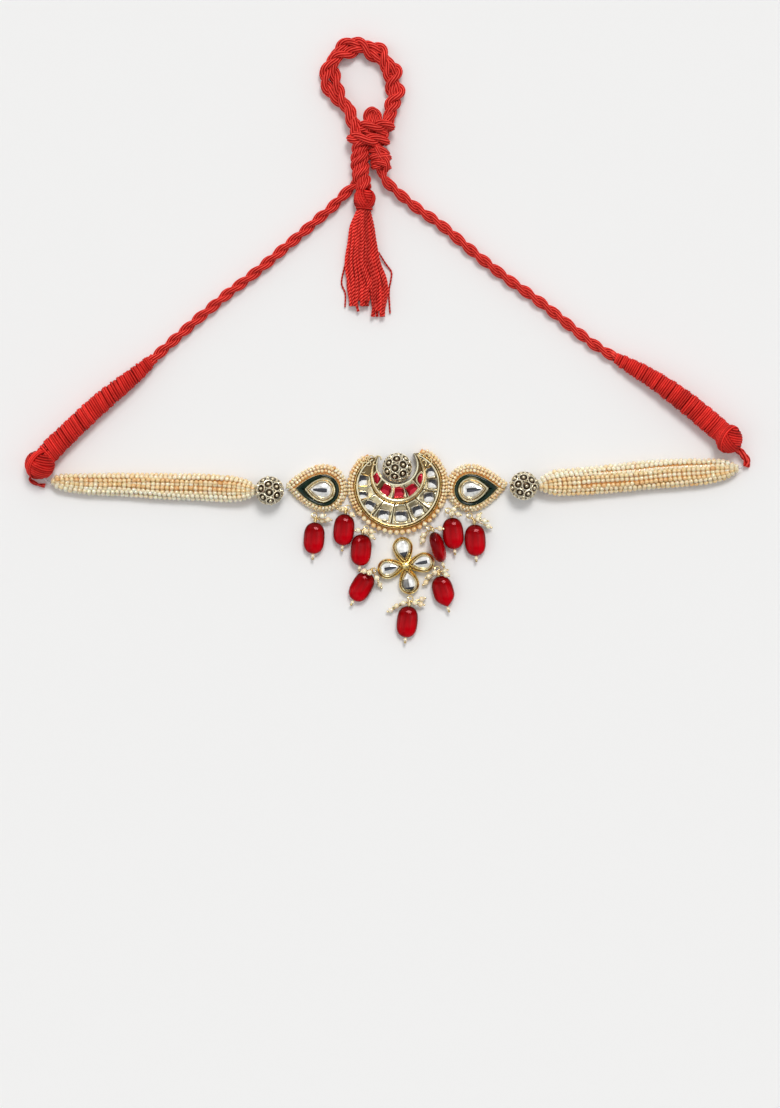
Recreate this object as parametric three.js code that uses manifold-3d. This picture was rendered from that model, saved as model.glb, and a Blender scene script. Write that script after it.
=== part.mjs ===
// Choker necklace laid flat and face up: a gold crescent between two drop settings, red glass
// drops, strands of seed pearls and a red cord that ends in a loop and a tassel.
// Millimetres: +X along the band, +Y towards the cord's loop, +Z up from the surface it lies on.

import * as THREE from "three";
import { mergeVertices } from "three/addons/utils/BufferGeometryUtils.js";
import Module from "manifold-3d";

const wasm = await Module();
wasm.setup();

// Gap between pieces that touch on the real necklace, and the thin gap inside a stone's cell.
const GAP = 0.3;
const CELL_GAP = 0.2;

const FINISH = {
  gold: { color: 0xc9a24e, roughness: 0.28, metalness: 1 },
  antique: { color: 0x8c7a4c, roughness: 0.45, metalness: 1 },
  clear: { color: 0xe8ecee, roughness: 0.05, metalness: 0.2 },
  ruby: { color: 0xb80c28, roughness: 0.08, metalness: 0 },
  glass: { color: 0xc00f20, roughness: 0.08, metalness: 0 },
  enamel: { color: 0x0d4a34, roughness: 0.15, metalness: 0 },
  pearl: { color: 0xf0dcb8, roughness: 0.35, metalness: 0 },
  thread: { color: 0xc8201c, roughness: 0.9, metalness: 0 },
};

// The crescent: a circle below and a flatter half ellipse above, turned about its centre.
const CRESCENT = { x: 3.34, y: -55.2, turn: 5.65, radius: 16.4, rise: 13.5, hornTop: 11.2 };
const CRESCENT_HEIGHT = { back: 1.4, cellFloor: 2.2, rim: 4.2, innerFloor: 3.6, inner: 5.4 };
const CRESCENT_WALL = { flange: 0.4, rim: 1.1, cell: 0.8, inner: 0.85 };
// The mouth and the raised inner crescent, from the crescent's centre.
const MOUTH = { x: -0.3, y: 7.7, radius: 7.4 };
const INNER = { x: 0.11, y: 3.34, radius: 10.6, turn: 1.4 };
// Angles of the cell walls from the lowest point, towards either side.
const CELL_ANGLES = [-112, -94, -73, -45.5, -15.3, 15.3, 45.5, 73, 94, 112];
const HORN_CELL_END = 130;
const RUBY_ANGLES = [-40.3, -12.1, 12.1, 40.3];
const MARQUISE = { length: 4.4, width: 2.7, left: [-7.86, 2.47], right: [8.7, 2.0] };
const STONE = { height: 2.0, bevel: 0.5 };
const CRESCENT_PEARLS = { offset: 1.75, width: 2.1, height: 2.2, z: 2.0, end: 132, steps: 28 };
const CRESCENT_BALL = { x: 3.12, y: -48.8, radius: 5.6 };

// Drop settings: each size is a round end's radius and how far the tip reaches along the axis.
const PEAR = {
  rim: [6.3, 10.9], channel: [6.0, 10.4], bezel: [4.55, 7.0], stone: [3.15, 5.0],
  back: 2.4, rimTop: 3.9, bezelTop: 4.9, stoneFloor: 2.9,
};
// Angle from the axis at which a drop's round end turns into its straighter sides.
const DROP_SHOULDER = 78;
const PEAR_PEARLS = { radius: 8.9, low: 0.3, high: 3.3 };
const PEARS = [
  { side: "left", x: -24.9, y: -57.4, turn: 176.1, tip: 12.7, shift: 0.2, rise: 0.8 },
  { side: "right", x: 30.8, y: -57.3, turn: 5.1, tip: 13.3, shift: 0.9, rise: 0.9 },
];

// The flower's petals are drops whose points run a little past its middle, so that the four join there.
const FLOWER = {
  x: 6.4, y: -85.9, turn: 10, reach: 11, petal: 3.9, past: 0.7, middle: 2.2, stone: 2.55, stoneReach: 4.3,
};
const FLOWER_HEIGHT = { back: 1.6, wall: 4.4, stoneFloor: 2.2 };

// Openwork balls on the band, with the bore that their thread runs through.
const BALL_BORE = 0.9;
const STRAND_BALLS = [
  { side: "left", x: -45.2, y: -57.5, radius: 5.5 },
  { side: "right", x: 51.0, y: -55.7, radius: 5.45 },
];
const THREAD_RADIUS = 0.4;

// Sections of each pearl bundle: centre, width and height.
const STRANDS = {
  left: [
    { x: -127.2, y: -54.2, z: 3.4, width: 3.0, height: 2.8 },
    { x: -124.6, y: -54.3, z: 3.2, width: 6.6, height: 4.4 },
    { x: -114, y: -54.9, z: 3.0, width: 8.6, height: 5.2 },
    { x: -100, y: -55.2, z: 3.0, width: 9.2, height: 5.6 },
    { x: -86, y: -55.9, z: 3.1, width: 10.2, height: 5.8 },
    { x: -71.4, y: -56.2, z: 3.2, width: 10.8, height: 5.8 },
    { x: -59.7, y: -56.8, z: 3.9, width: 10.2, height: 5.6 },
    { x: -54, y: -57.2, z: 4.9, width: 7.8, height: 5.0 },
    { x: -51.4, y: -57.4, z: 5.4, width: 4.6, height: 3.8 },
  ],
  right: [
    { x: 57.3, y: -55.6, z: 5.4, width: 4.8, height: 4.0 },
    { x: 60.5, y: -54.9, z: 4.7, width: 8.6, height: 5.2 },
    { x: 66, y: -54.4, z: 3.7, width: 11.2, height: 5.8 },
    { x: 77, y: -53.6, z: 3.2, width: 11.8, height: 5.8 },
    { x: 90, y: -52.6, z: 3.1, width: 11.8, height: 5.8 },
    { x: 104, y: -51.3, z: 3.0, width: 11.4, height: 5.6 },
    { x: 117, y: -50.3, z: 3.0, width: 10.4, height: 5.2 },
    { x: 127, y: -49.5, z: 3.1, width: 8.2, height: 4.4 },
    { x: 131.6, y: -49.2, z: 3.4, width: 3.6, height: 3.0 },
  ],
};
// Thread from each gold ball to the drop setting, and from the bundle's outer end to the wound ball.
const THREADS = {
  left: {
    inner: [
      [-52.6, -57.5, 5.5], [-45.2, -57.5, 5.5], [-39.4, -57.5, 5.5], [-38.2, -57, 4.2],
      [-37.9, -56.6, 2.6],
    ],
    outer: [[-126, -54.2, 3.4], [-128.6, -54.5, 3.2], [-130.2, -53.1, 3.4]],
  },
  right: {
    inner: [
      [58.4, -55.7, 5.5], [51, -55.7, 5.5], [45.4, -55.7, 5.5], [44.7, -55.9, 4.2],
      [44.5, -56.1, 2.6],
    ],
    outer: [[130.5, -49.3, 3.4], [133.3, -48.9, 3.3], [134.1, -48.4, 3.3]],
  },
};

// Wound ends of the cord, from the ball up to the thin end, and the thread that leaves the ball.
const WRAPS = {
  left: {
    ball: { x: -132.1, y: -47.7, radius: 5.4 },
    rows: [
      { x: -131, y: -46.0, z: 4.6, width: 7.6, height: 7.4 },
      { x: -128.2, y: -42.4, z: 4.1, width: 8.4, height: 7.8 },
      { x: -120.5, y: -34.8, z: 4.0, width: 8.0, height: 7.6 },
      { x: -111.7, y: -26.5, z: 3.9, width: 7.8, height: 7.4 },
      { x: -104.5, y: -20.4, z: 3.7, width: 7.2, height: 7.0 },
      { x: -98.0, y: -15.2, z: 3.4, width: 6.4, height: 6.2 },
      { x: -94.2, y: -12.0, z: 2.9, width: 5.4, height: 5.2 },
      { x: -90.8, y: -8.8, z: 2.7, width: 5.0, height: 4.8 },
    ],
    tail: [[-135.2, -51.0, 3.2], [-136.2, -53.2, 1.6], [-133.6, -55.0, 1.2], [-130.6, -55.9, 1.2]],
    tailRadius: 0.8,
  },
  right: {
    ball: { x: 128.6, y: -38.0, radius: 5.1 },
    rows: [
      { x: 127.4, y: -36.6, z: 4.6, width: 7.4, height: 7.2 },
      { x: 124.0, y: -33.6, z: 4.1, width: 8.4, height: 7.8 },
      { x: 114.4, y: -25.6, z: 4.0, width: 8.2, height: 7.8 },
      { x: 107.5, y: -20.4, z: 3.9, width: 7.8, height: 7.4 },
      { x: 101.2, y: -16.0, z: 3.6, width: 7.0, height: 6.8 },
      { x: 95.4, y: -12.4, z: 3.2, width: 6.2, height: 6.0 },
      { x: 90.4, y: -9.6, z: 2.8, width: 5.2, height: 5.0 },
      { x: 86.4, y: -7.4, z: 2.7, width: 5.0, height: 4.8 },
    ],
    tail: [[131.4, -41.2, 3.6], [134.4, -44.0, 2.4], [135.9, -46.4, 1.8], [135.6, -48.6, 1.7]],
    tailRadius: 1.4,
  },
};

// The two free cords, from the wound end to the knot, through points on their centre line.
const CORD_DIAMETER = 4;
const CORDS = {
  left: [
    [-90.58, -8.6, 2.7], [-86.3, -4.7, 2.3], [-81.7, -0.5, 2.1], [-77.1, 3.6, 2.0],
    [-72.6, 7.6, 2.0], [-68.0, 11.4, 2.0], [-63.5, 15.3, 2.0], [-58.9, 19.0, 2.0],
    [-54.3, 22.4, 2.0], [-49.8, 26.0, 2.0], [-45.2, 29.8, 2.0], [-40.7, 33.7, 2.0],
    [-36.1, 37.6, 2.0], [-31.5, 41.5, 2.0], [-27.0, 45.4, 2.0], [-22.4, 49.3, 2.1],
    [-18.9, 52.9, 2.3], [-16.5, 55.3, 2.6],
  ],
  right: [
    [85.6, -6.9, 2.6], [81.8, -4.6, 2.3], [78.0, -2.2, 2.1], [74.1, 0.7, 2.0],
    [69.5, 4.3, 2.0], [65.0, 8.0, 2.0], [60.4, 11.7, 2.0], [55.9, 15.1, 2.0],
    [51.3, 18.4, 2.0], [46.7, 21.6, 2.0], [42.2, 25.0, 2.0], [37.6, 28.5, 2.0],
    [33.1, 32.1, 2.0], [28.5, 36.0, 2.0], [23.9, 39.9, 2.0], [19.4, 43.6, 2.0],
    [14.8, 46.8, 2.0], [10.3, 49.9, 2.2], [5.9, 53.4, 2.7], [2.7, 56.1, 3.2],
  ],
};
const CORD_STEPS = 17;
const CORD_SIDES = 8;

// The doubled loop at the top: sections round its two cords, which cross over at the ends.
const LOOP = [
  { x: -13.7, y: 83.4, z: 4.6, width: 4.6, height: 6.4 },
  { x: -15.0, y: 86.4, z: 3.9, width: 6.0, height: 5.8 },
  { x: -17.3, y: 89.4, z: 3.2, width: 7.2, height: 5.6 },
  { x: -20.0, y: 92.8, z: 3.0, width: 8.2, height: 5.7 },
  { x: -21.8, y: 96.6, z: 3.0, width: 8.6, height: 5.8 },
  { x: -22.4, y: 100.6, z: 3.0, width: 8.6, height: 5.8 },
  { x: -21.4, y: 104.8, z: 3.0, width: 8.6, height: 5.8 },
  { x: -18.8, y: 108.4, z: 3.0, width: 8.6, height: 5.8 },
  { x: -14.6, y: 110.6, z: 3.0, width: 8.4, height: 5.8 },
  { x: -9.8, y: 110.8, z: 3.0, width: 8.4, height: 5.8 },
  { x: -5.4, y: 109.0, z: 3.0, width: 8.6, height: 5.8 },
  { x: -1.6, y: 105.6, z: 3.0, width: 8.6, height: 5.8 },
  { x: 0.8, y: 101.6, z: 3.0, width: 8.4, height: 5.8 },
  { x: 2.0, y: 97.2, z: 3.0, width: 8.2, height: 5.8 },
  { x: 2.2, y: 93.0, z: 3.1, width: 7.8, height: 5.7 },
  { x: 1.7, y: 89.4, z: 3.4, width: 7.0, height: 5.6 },
  { x: 0.8, y: 86.4, z: 4.1, width: 5.8, height: 5.8 },
  { x: 0.2, y: 83.4, z: 4.6, width: 4.4, height: 6.4 },
];

// The knot: a top lump, two turns round the core, a small knot and the doubled cord to the tassel.
const KNOT = {
  lump: { x: -6.4, y: 84.0, z: 4.8, width: 9.0, depth: 9.4, height: 8.6 },
  coils: [
    { x: -6.6, y: 79.7, z: 4.9, width: 16.6, height: 9.2, cord: 4.0 },
    { x: -7.7, y: 75.3, z: 4.8, width: 16.8, height: 9.0, cord: 4.2 },
  ],
  core: [
    { x: -6.4, y: 83.5, z: 4.6, width: 8.0, height: 6.8 },
    { x: -7.2, y: 72.0, z: 4.4, width: 13.0, height: 6.4 },
  ],
  smallKnot: { x: -2.7, y: 67.8, z: 4.3, width: 8.0, depth: 9.4, height: 7.8 },
  leg: [
    { x: -10.7, y: 74.0, z: 4.4, width: 8.0, height: 6.2 },
    { x: -10.9, y: 67.5, z: 4.2, width: 8.4, height: 6.2 },
    { x: -10.9, y: 61.5, z: 4.2, width: 8.2, height: 6.0 },
    { x: -10.4, y: 57.6, z: 4.2, width: 6.6, height: 5.0 },
  ],
  exits: [
    [[-3.0, 65.0, 4.2], [-2.3, 61.4, 4.0], [-0.4, 58.4, 3.7], [2.4, 56.3, 3.3]],
    [[-10.6, 60.6, 3.4], [-13.4, 58.2, 3.0], [-16.3, 55.5, 2.6]],
  ],
};

const TASSEL = {
  head: { x: -9.3, y: 52.8, z: 4.3, width: 8.2, depth: 8.4, height: 8.0 },
  skirt: [
    { x: -9.4, y: 50.5, z: 4.1, width: 5.2, height: 4.6 },
    { x: -9.7, y: 48.2, z: 4.0, width: 6.2, height: 5.0 },
    { x: -10.2, y: 43.0, z: 3.6, width: 9.8, height: 5.6 },
    { x: -10.0, y: 36.3, z: 3.2, width: 12.2, height: 5.4 },
    { x: -9.9, y: 29.5, z: 2.9, width: 15.0, height: 5.0 },
    { x: -8.8, y: 23.0, z: 2.6, width: 17.0, height: 4.6 },
    { x: -8.4, y: 16.0, z: 2.4, width: 16.6, height: 4.2 },
    { x: -8.1, y: 8.5, z: 2.1, width: 15.2, height: 3.6 },
  ],
};

// Red glass drops: a bead's half sizes, its bore, and the pin with its eye, crown and end beads.
const BEAD = { halfLength: 6, halfWidth: 4, halfThickness: 2.3, bore: 0.6, rings: 6, segments: 10 };
const PIN = { wire: 0.26, coil: 0.8, coilLength: 1.3, eye: 1.05, endPearl: 0.7, endBall: 0.5 };
const CLUSTER_PEARL = 1.1;
// Centre, height, tilt and roll of each bead, its pin's eye, and the pearls of its cluster.
const DROPS = [
  {
    x: -28.4, y: -75.5, z: 2.4, tilt: -4, roll: 0, eye: [-28.3, -66.9, 2.2],
    pearls: [[-25.4, -68.9, 2.0], [-23.2, -68.5, 2.6], [-25.2, -67.2, 4.0]],
  },
  {
    x: -17.1, y: -72.3, z: 2.4, tilt: -5, roll: 0, eye: [-15.6, -64.0, 2.2],
    pearls: [[-18.2, -64.6, 2.4], [-17.6, -64.6, 4.6], [-14.0, -66.6, 5.0]],
  },
  {
    x: -10.6, y: -80.0, z: 3.1, tilt: -5, roll: 14, eye: [-8.6, -71.8, 2.4],
    pearls: [[-11.8, -72.6, 5.2], [-8.7, -73.0, 5.6], [-6.5, -75.0, 4.4], [-6.7, -73.0, 3.2]],
  },
  {
    x: 18.5, y: -78.9, z: 4.3, tilt: 16.8, roll: 74, eye: [15.2, -71.8, 3.0],
    pearls: [[19.3, -71.9, 5.0], [13.1, -74.2, 2.6], [12.9, -76.4, 2.2]],
  },
  {
    x: 24.3, y: -73.7, z: 2.4, tilt: 5.6, roll: 0, eye: [22.4, -65.1, 2.2],
    pearls: [[23.8, -66.4, 5.0], [26.2, -66.6, 4.0], [24.6, -64.6, 3.0]],
  },
  {
    x: 32.7, y: -76.3, z: 2.4, tilt: 3, roll: 0, eye: [30.6, -67.0, 2.2],
    pearls: [[33.8, -68.4, 4.6], [36.2, -69.0, 3.6], [37.6, -71.0, 2.2], [34.0, -67.0, 2.6]],
  },
  {
    x: -10.4, y: -93.9, z: 2.4, tilt: -30, roll: 0, eye: [-5.9, -87.8, 2.6],
    pearls: [[-9.4, -88.0, 5.2], [-7.4, -88.6, 6.0], [-4.6, -90.6, 5.6], [-3.5, -93.2, 1.6]],
  },
  {
    x: 6.9, y: -107.2, z: 2.4, tilt: -6, roll: 0, eye: [8.1, -98.4, 2.4],
    pearls: [
      [9.8, -100.0, 3.4], [12.0, -100.6, 2.4], [12.4, -98.6, 2.0],
      [5.4, -100.2, 3.2], [2.9, -101.2, 2.4], [0.7, -102.8, 1.8],
    ],
  },
  {
    x: 20.6, y: -95.7, z: 2.4, tilt: 15.8, roll: 0, eye: [18.2, -87.2, 2.6],
    pearls: [
      [17.2, -88.6, 5.2], [20.9, -87.9, 1.9], [21.6, -89.4, 4.4],
      [15.2, -90.0, 2.4], [14.0, -92.4, 1.8],
    ],
  },
];

const radians = THREE.MathUtils.degToRad;

// A closed geometry as a solid for joining and cutting, and back.
function solidOf(geometry) {
  const plain = geometry.clone();
  plain.deleteAttribute("normal");
  plain.deleteAttribute("uv");
  const welded = mergeVertices(plain, 1e-4);
  return new wasm.Manifold(new wasm.Mesh({
    numProp: 3,
    vertProperties: new Float32Array(welded.attributes.position.array),
    triVerts: new Uint32Array(welded.index.array),
  }));
}

function geometryOf(solid) {
  const mesh = solid.getMesh();
  const geometry = new THREE.BufferGeometry();
  geometry.setAttribute("position", new THREE.BufferAttribute(mesh.vertProperties, 3));
  geometry.setIndex(new THREE.BufferAttribute(mesh.triVerts, 1));
  return geometry;
}

function join(geometries) {
  return geometryOf(geometries.map(solidOf).reduce((whole, part) => whole.add(part)));
}

function cut(geometry, tools) {
  return geometryOf(tools.map(solidOf).reduce((whole, tool) => whole.subtract(tool), solidOf(geometry)));
}

function mesh(name, geometry, finish) {
  const piece = new THREE.Mesh(geometry, new THREE.MeshStandardMaterial(FINISH[finish]));
  piece.name = name;
  return piece;
}

// A round section of radius 1, with shallow lobes where a bundle shows its strands.
function roundSection(sides, lobes = 0, depth = 0) {
  const points = [];
  for (let i = 0; i < sides; i += 1) {
    const angle = (2 * Math.PI * i) / sides;
    const reach = 1 - depth / 2 + (depth / 2) * Math.cos(lobes * angle);
    points.push(new THREE.Vector2(reach * Math.cos(angle), reach * Math.sin(angle)));
  }
  return new THREE.Shape(points);
}

function prism(shape, low, high, options = {}) {
  const settings = { depth: high - low, bevelEnabled: false, curveSegments: 5, ...options };
  return new THREE.ExtrudeGeometry(shape, settings).translate(0, 0, low);
}

// A closed solid through lying sections, each a row of centre, width and height.
function loft(section, rows) {
  const spans = rows.length - 1;
  const settings = { depth: spans, steps: spans, bevelEnabled: false };
  const geometry = new THREE.ExtrudeGeometry(section, settings);
  const centres = rows.map((row) => new THREE.Vector3(row.x, row.y, row.z));
  const up = new THREE.Vector3(0, 0, 1);
  const position = geometry.attributes.position;
  for (let i = 0; i < position.count; i += 1) {
    const step = Math.round(position.getZ(i));
    const before = centres[Math.max(step - 1, 0)];
    const after = centres[Math.min(step + 1, spans)];
    const along = after.clone().sub(before).normalize();
    const side = new THREE.Vector3().crossVectors(up, along).normalize();
    const rise = new THREE.Vector3().crossVectors(along, side);
    const point = centres[step].clone();
    point.addScaledVector(side, (position.getX(i) * rows[step].width) / 2);
    point.addScaledVector(rise, (position.getY(i) * rows[step].height) / 2);
    position.setXYZ(i, point.x, point.y, point.z);
  }
  return geometry;
}

function curveThrough(points) {
  return new THREE.CatmullRomCurve3(points.map((point) => new THREE.Vector3(...point)));
}

// A lying tube of level width and upright height along a smooth route.
function tube(points, width, height, sides, steps) {
  const rows = curveThrough(points).getSpacedPoints(steps);
  return loft(roundSection(sides), rows.map(({ x, y, z }) => ({ x, y, z, width, height })));
}

function rod(from, to, radius, sides = 4) {
  const start = new THREE.Vector3(...from);
  const span = new THREE.Vector3(...to).sub(start);
  const geometry = new THREE.CylinderGeometry(radius, radius, span.length(), sides);
  geometry.translate(0, span.length() / 2, 0);
  const up = new THREE.Vector3(0, 1, 0);
  const turn = new THREE.Quaternion().setFromUnitVectors(up, span.normalize());
  return geometry.applyQuaternion(turn).translate(start.x, start.y, start.z);
}

function sphere([x, y, z], radius, segments = 5, rings = 4) {
  return new THREE.SphereGeometry(radius, segments, rings).translate(x, y, z);
}

function ellipsoid({ x, y, z, width, depth, height }, segments, rings) {
  const geometry = new THREE.SphereGeometry(0.5, segments, rings).rotateX(Math.PI / 2);
  return geometry.scale(width, depth, height).translate(x, y, z);
}

// Direction at an angle from straight down the photo's page, positive towards +X.
function direction(angle) {
  return new THREE.Vector2(Math.sin(radians(angle)), -Math.cos(radians(angle)));
}

// How far a ray from a point runs until it leaves a circle.
function reachOfCircle(origin, angle, circle) {
  const ray = direction(angle);
  const offset = new THREE.Vector2(circle.x - origin.x, circle.y - origin.y);
  const along = ray.dot(offset);
  return along + Math.sqrt(along ** 2 - offset.lengthSq() + circle.radius ** 2);
}

// The crescent's outer edge, from its centre, at an angle in its own turned frame.
function edgeReach(angle) {
  if (Math.abs(angle) <= 90) return CRESCENT.radius;
  const across = Math.sin(radians(angle)) / CRESCENT.radius;
  const upwards = Math.cos(radians(angle)) / CRESCENT.rise;
  return 1 / Math.hypot(across, upwards);
}

// A cell between two curves seen from one origin, with its walls at two angles set back evenly.
function cellShape(origin, turn, from, to, back, outerReach, innerReach) {
  const corners = [];
  const steps = Math.max(2, Math.round(Math.abs(to - from) / 9));
  const sides = [outerReach, innerReach];
  sides.forEach((reach, index) => {
    for (let i = 0; i <= steps; i += 1) {
      const share = index === 0 ? i / steps : 1 - i / steps;
      const setBack = THREE.MathUtils.radToDeg(back / reach(from + (to - from) * share));
      const angle = from + setBack + (to - from - 2 * setBack) * share;
      const point = direction(angle + turn).multiplyScalar(reach(angle));
      corners.push(new THREE.Vector2(origin.x + point.x, origin.y + point.y));
    }
  });
  return new THREE.Shape(corners);
}

const CENTRE = { x: 0, y: 0 };

function outerCell(from, to, gap) {
  const outside = (angle) => edgeReach(angle) - CRESCENT_WALL.rim - gap;
  const wall = { ...INNER, radius: INNER.radius + gap };
  const inside = (angle) => reachOfCircle(CENTRE, angle + CRESCENT.turn, wall);
  return cellShape(CENTRE, CRESCENT.turn, from, to, CRESCENT_WALL.cell / 2 + gap, outside, inside);
}

function innerCell(from, to, gap) {
  const wall = { ...INNER, radius: INNER.radius - CRESCENT_WALL.inner - gap };
  const outside = (angle) => reachOfCircle(MOUTH, angle + INNER.turn, wall);
  const inside = () => MOUTH.radius + CRESCENT_WALL.inner + gap;
  return cellShape(MOUTH, INNER.turn, from, to, CRESCENT_WALL.cell / 2 + gap, outside, inside);
}

// A pointed oval standing along the crescent's axis, made of two arcs.
function marquiseShape([x, y], gap) {
  const half = MARQUISE.length / 2 - gap;
  const bulge = MARQUISE.width / 2 - gap;
  const radius = (half ** 2 + bulge ** 2) / (2 * bulge);
  const sweep = Math.asin(half / radius);
  const shape = new THREE.Shape();
  shape.absarc(bulge - radius, 0, radius, -sweep, sweep, false);
  shape.absarc(radius - bulge, 0, radius, Math.PI - sweep, Math.PI + sweep, false);
  const turn = radians(CRESCENT.turn);
  const points = shape.getPoints(3).map((point) => {
    return point.rotateAround(new THREE.Vector2(), turn).add(new THREE.Vector2(x, y));
  });
  return new THREE.Shape(points);
}

// A stone that is widest half way up, with a bevel above and below.
function stone(shape, floor) {
  const { height, bevel } = STONE;
  const depth = height - 2 * bevel;
  const settings = { depth, bevelThickness: bevel, bevelSize: bevel, bevelOffset: -bevel };
  const geometry = new THREE.ExtrudeGeometry(shape, { ...settings, bevelSegments: 1, curveSegments: 4 });
  return geometry.translate(0, 0, floor + CELL_GAP + bevel);
}

function outlineShape(margin) {
  const points = [];
  for (let angle = -180; angle < 180; angle += 7.5) {
    points.push(direction(angle + CRESCENT.turn).multiplyScalar(edgeReach(angle) + margin));
  }
  return new THREE.Shape(points);
}

function circleShape({ x, y, radius }) {
  return new THREE.Shape().absarc(x, y, radius, 0, 2 * Math.PI, false);
}

function crescentFrame() {
  const { back, cellFloor, rim, innerFloor, inner } = CRESCENT_HEIGHT;
  const plate = prism(outlineShape(CRESCENT_WALL.flange), 0, back);
  const body = prism(outlineShape(0), 0, rim);
  const raised = prism(circleShape(INNER), 0, inner, { curveSegments: 18 });
  const over = inner + 1;
  const mouth = prism(circleShape(MOUTH), -1, over, { curveSegments: 14 });
  const above = new THREE.BoxGeometry(4 * CRESCENT.radius, 2 * CRESCENT.radius, 4 * over);
  above.translate(0, CRESCENT.hornTop + CRESCENT.radius, 0).rotateZ(radians(CRESCENT.turn));
  const cells = CELL_ANGLES.slice(1).map((end, i) => {
    return prism(outerCell(CELL_ANGLES[i], end, 0), cellFloor, over);
  });
  const last = CELL_ANGLES.length - 1;
  cells.push(prism(outerCell(-HORN_CELL_END, CELL_ANGLES[0], 0), cellFloor, over));
  cells.push(prism(outerCell(CELL_ANGLES[last], HORN_CELL_END, 0), cellFloor, over));
  const rubies = RUBY_ANGLES.slice(1).map((end, i) => {
    return prism(innerCell(RUBY_ANGLES[i], end, 0), innerFloor, over);
  });
  rubies.push(prism(marquiseShape(MARQUISE.left, 0), innerFloor, over));
  rubies.push(prism(marquiseShape(MARQUISE.right, 0), innerFloor, over));
  const walls = cut(join([plate, body]), cells);
  return cut(join([walls, raised]), [mouth, above, ...rubies]);
}

function crescentPearls() {
  const { offset, width, height, z, end, steps } = CRESCENT_PEARLS;
  const rows = [];
  for (let i = 0; i <= steps; i += 1) {
    const angle = -end + (2 * end * i) / steps;
    const point = direction(angle + CRESCENT.turn).multiplyScalar(edgeReach(angle) + offset);
    rows.push({ x: point.x, y: point.y, z, width, height });
  }
  return loft(roundSection(6), rows);
}

function crescent() {
  const stones = CELL_ANGLES.slice(1).map((end, i) => {
    const shape = outerCell(CELL_ANGLES[i], end, CELL_GAP);
    return mesh(`crescent_stone_${i + 1}`, stone(shape, CRESCENT_HEIGHT.cellFloor), "clear");
  });
  const rubyShapes = [
    marquiseShape(MARQUISE.left, CELL_GAP),
    ...RUBY_ANGLES.slice(1).map((end, i) => innerCell(RUBY_ANGLES[i], end, CELL_GAP)),
    marquiseShape(MARQUISE.right, CELL_GAP),
  ];
  const rubies = rubyShapes.map((shape, i) => {
    return mesh(`crescent_ruby_${i + 1}`, stone(shape, CRESCENT_HEIGHT.innerFloor), "ruby");
  });
  const group = new THREE.Group();
  group.position.set(CRESCENT.x, CRESCENT.y, 0);
  group.add(mesh("crescent_frame", crescentFrame(), "gold"));
  group.add(mesh("crescent_pearls", crescentPearls(), "pearl"));
  group.add(...stones, ...rubies);
  return group;
}

// A drop outline: a round end about the origin and a point along +X.
function dropShape(radius, reach, x = 0, y = 0) {
  const angle = radians(DROP_SHOULDER);
  const touch = new THREE.Vector2(radius * Math.cos(angle), radius * Math.sin(angle));
  const pull = 0.5 * (reach - touch.x);
  const bend = new THREE.Vector2(touch.x + pull * Math.sin(angle), touch.y - pull * Math.cos(angle));
  const shape = new THREE.Shape();
  shape.moveTo(x + reach, y);
  shape.quadraticCurveTo(x + bend.x, y + bend.y, x + touch.x, y + touch.y);
  shape.absarc(x, y, radius, angle, 2 * Math.PI - angle, false);
  shape.quadraticCurveTo(x + bend.x, y - bend.y, x + reach, y);
  return shape;
}

function ringPrism(outer, inner, low, high) {
  const shape = new THREE.Shape(outer.getPoints(5));
  shape.holes.push(new THREE.Path(inner.getPoints(5).reverse()));
  return prism(shape, low, high);
}

function pear({ side, x, y, turn, tip, shift, rise }) {
  const { rim, channel, bezel, stone: gem, back, rimTop, bezelTop, stoneFloor } = PEAR;
  const outline = dropShape(...rim);
  const block = join([prism(outline, 0, rimTop), prism(dropShape(...bezel), 0, bezelTop)]);
  const trench = ringPrism(dropShape(...channel), dropShape(...bezel), back, bezelTop + 1);
  const pocket = prism(dropShape(...gem), stoneFloor, bezelTop + 1);
  const setting = cut(block, [trench, pocket]);
  const enamel = ringPrism(
    dropShape(channel[0] - CELL_GAP, channel[1] - 2 * CELL_GAP),
    dropShape(bezel[0] + CELL_GAP, bezel[1] + 2 * CELL_GAP),
    back + CELL_GAP,
    rimTop - CELL_GAP,
  );
  const gemShape = new THREE.Shape(dropShape(gem[0] - CELL_GAP, gem[1] - 2 * CELL_GAP).getPoints(4));
  const { radius, low, high } = PEAR_PEARLS;
  const up = Math.cos(radians(turn)) < 0 ? -rise : rise;
  const edge = ringPrism(
    dropShape(radius, tip - shift, shift, up),
    dropShape(rim[0] + GAP, rim[1] + 2 * GAP),
    low,
    high,
  );
  const group = new THREE.Group();
  group.position.set(x, y, 0);
  group.rotation.z = radians(turn);
  group.add(mesh(`pear_setting_${side}`, setting, "gold"));
  group.add(mesh(`pear_enamel_${side}`, enamel, "enamel"));
  group.add(mesh(`pear_stone_${side}`, stone(gemShape, stoneFloor), "clear"));
  group.add(mesh(`pear_pearls_${side}`, edge, "pearl"));
  return group;
}

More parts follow.
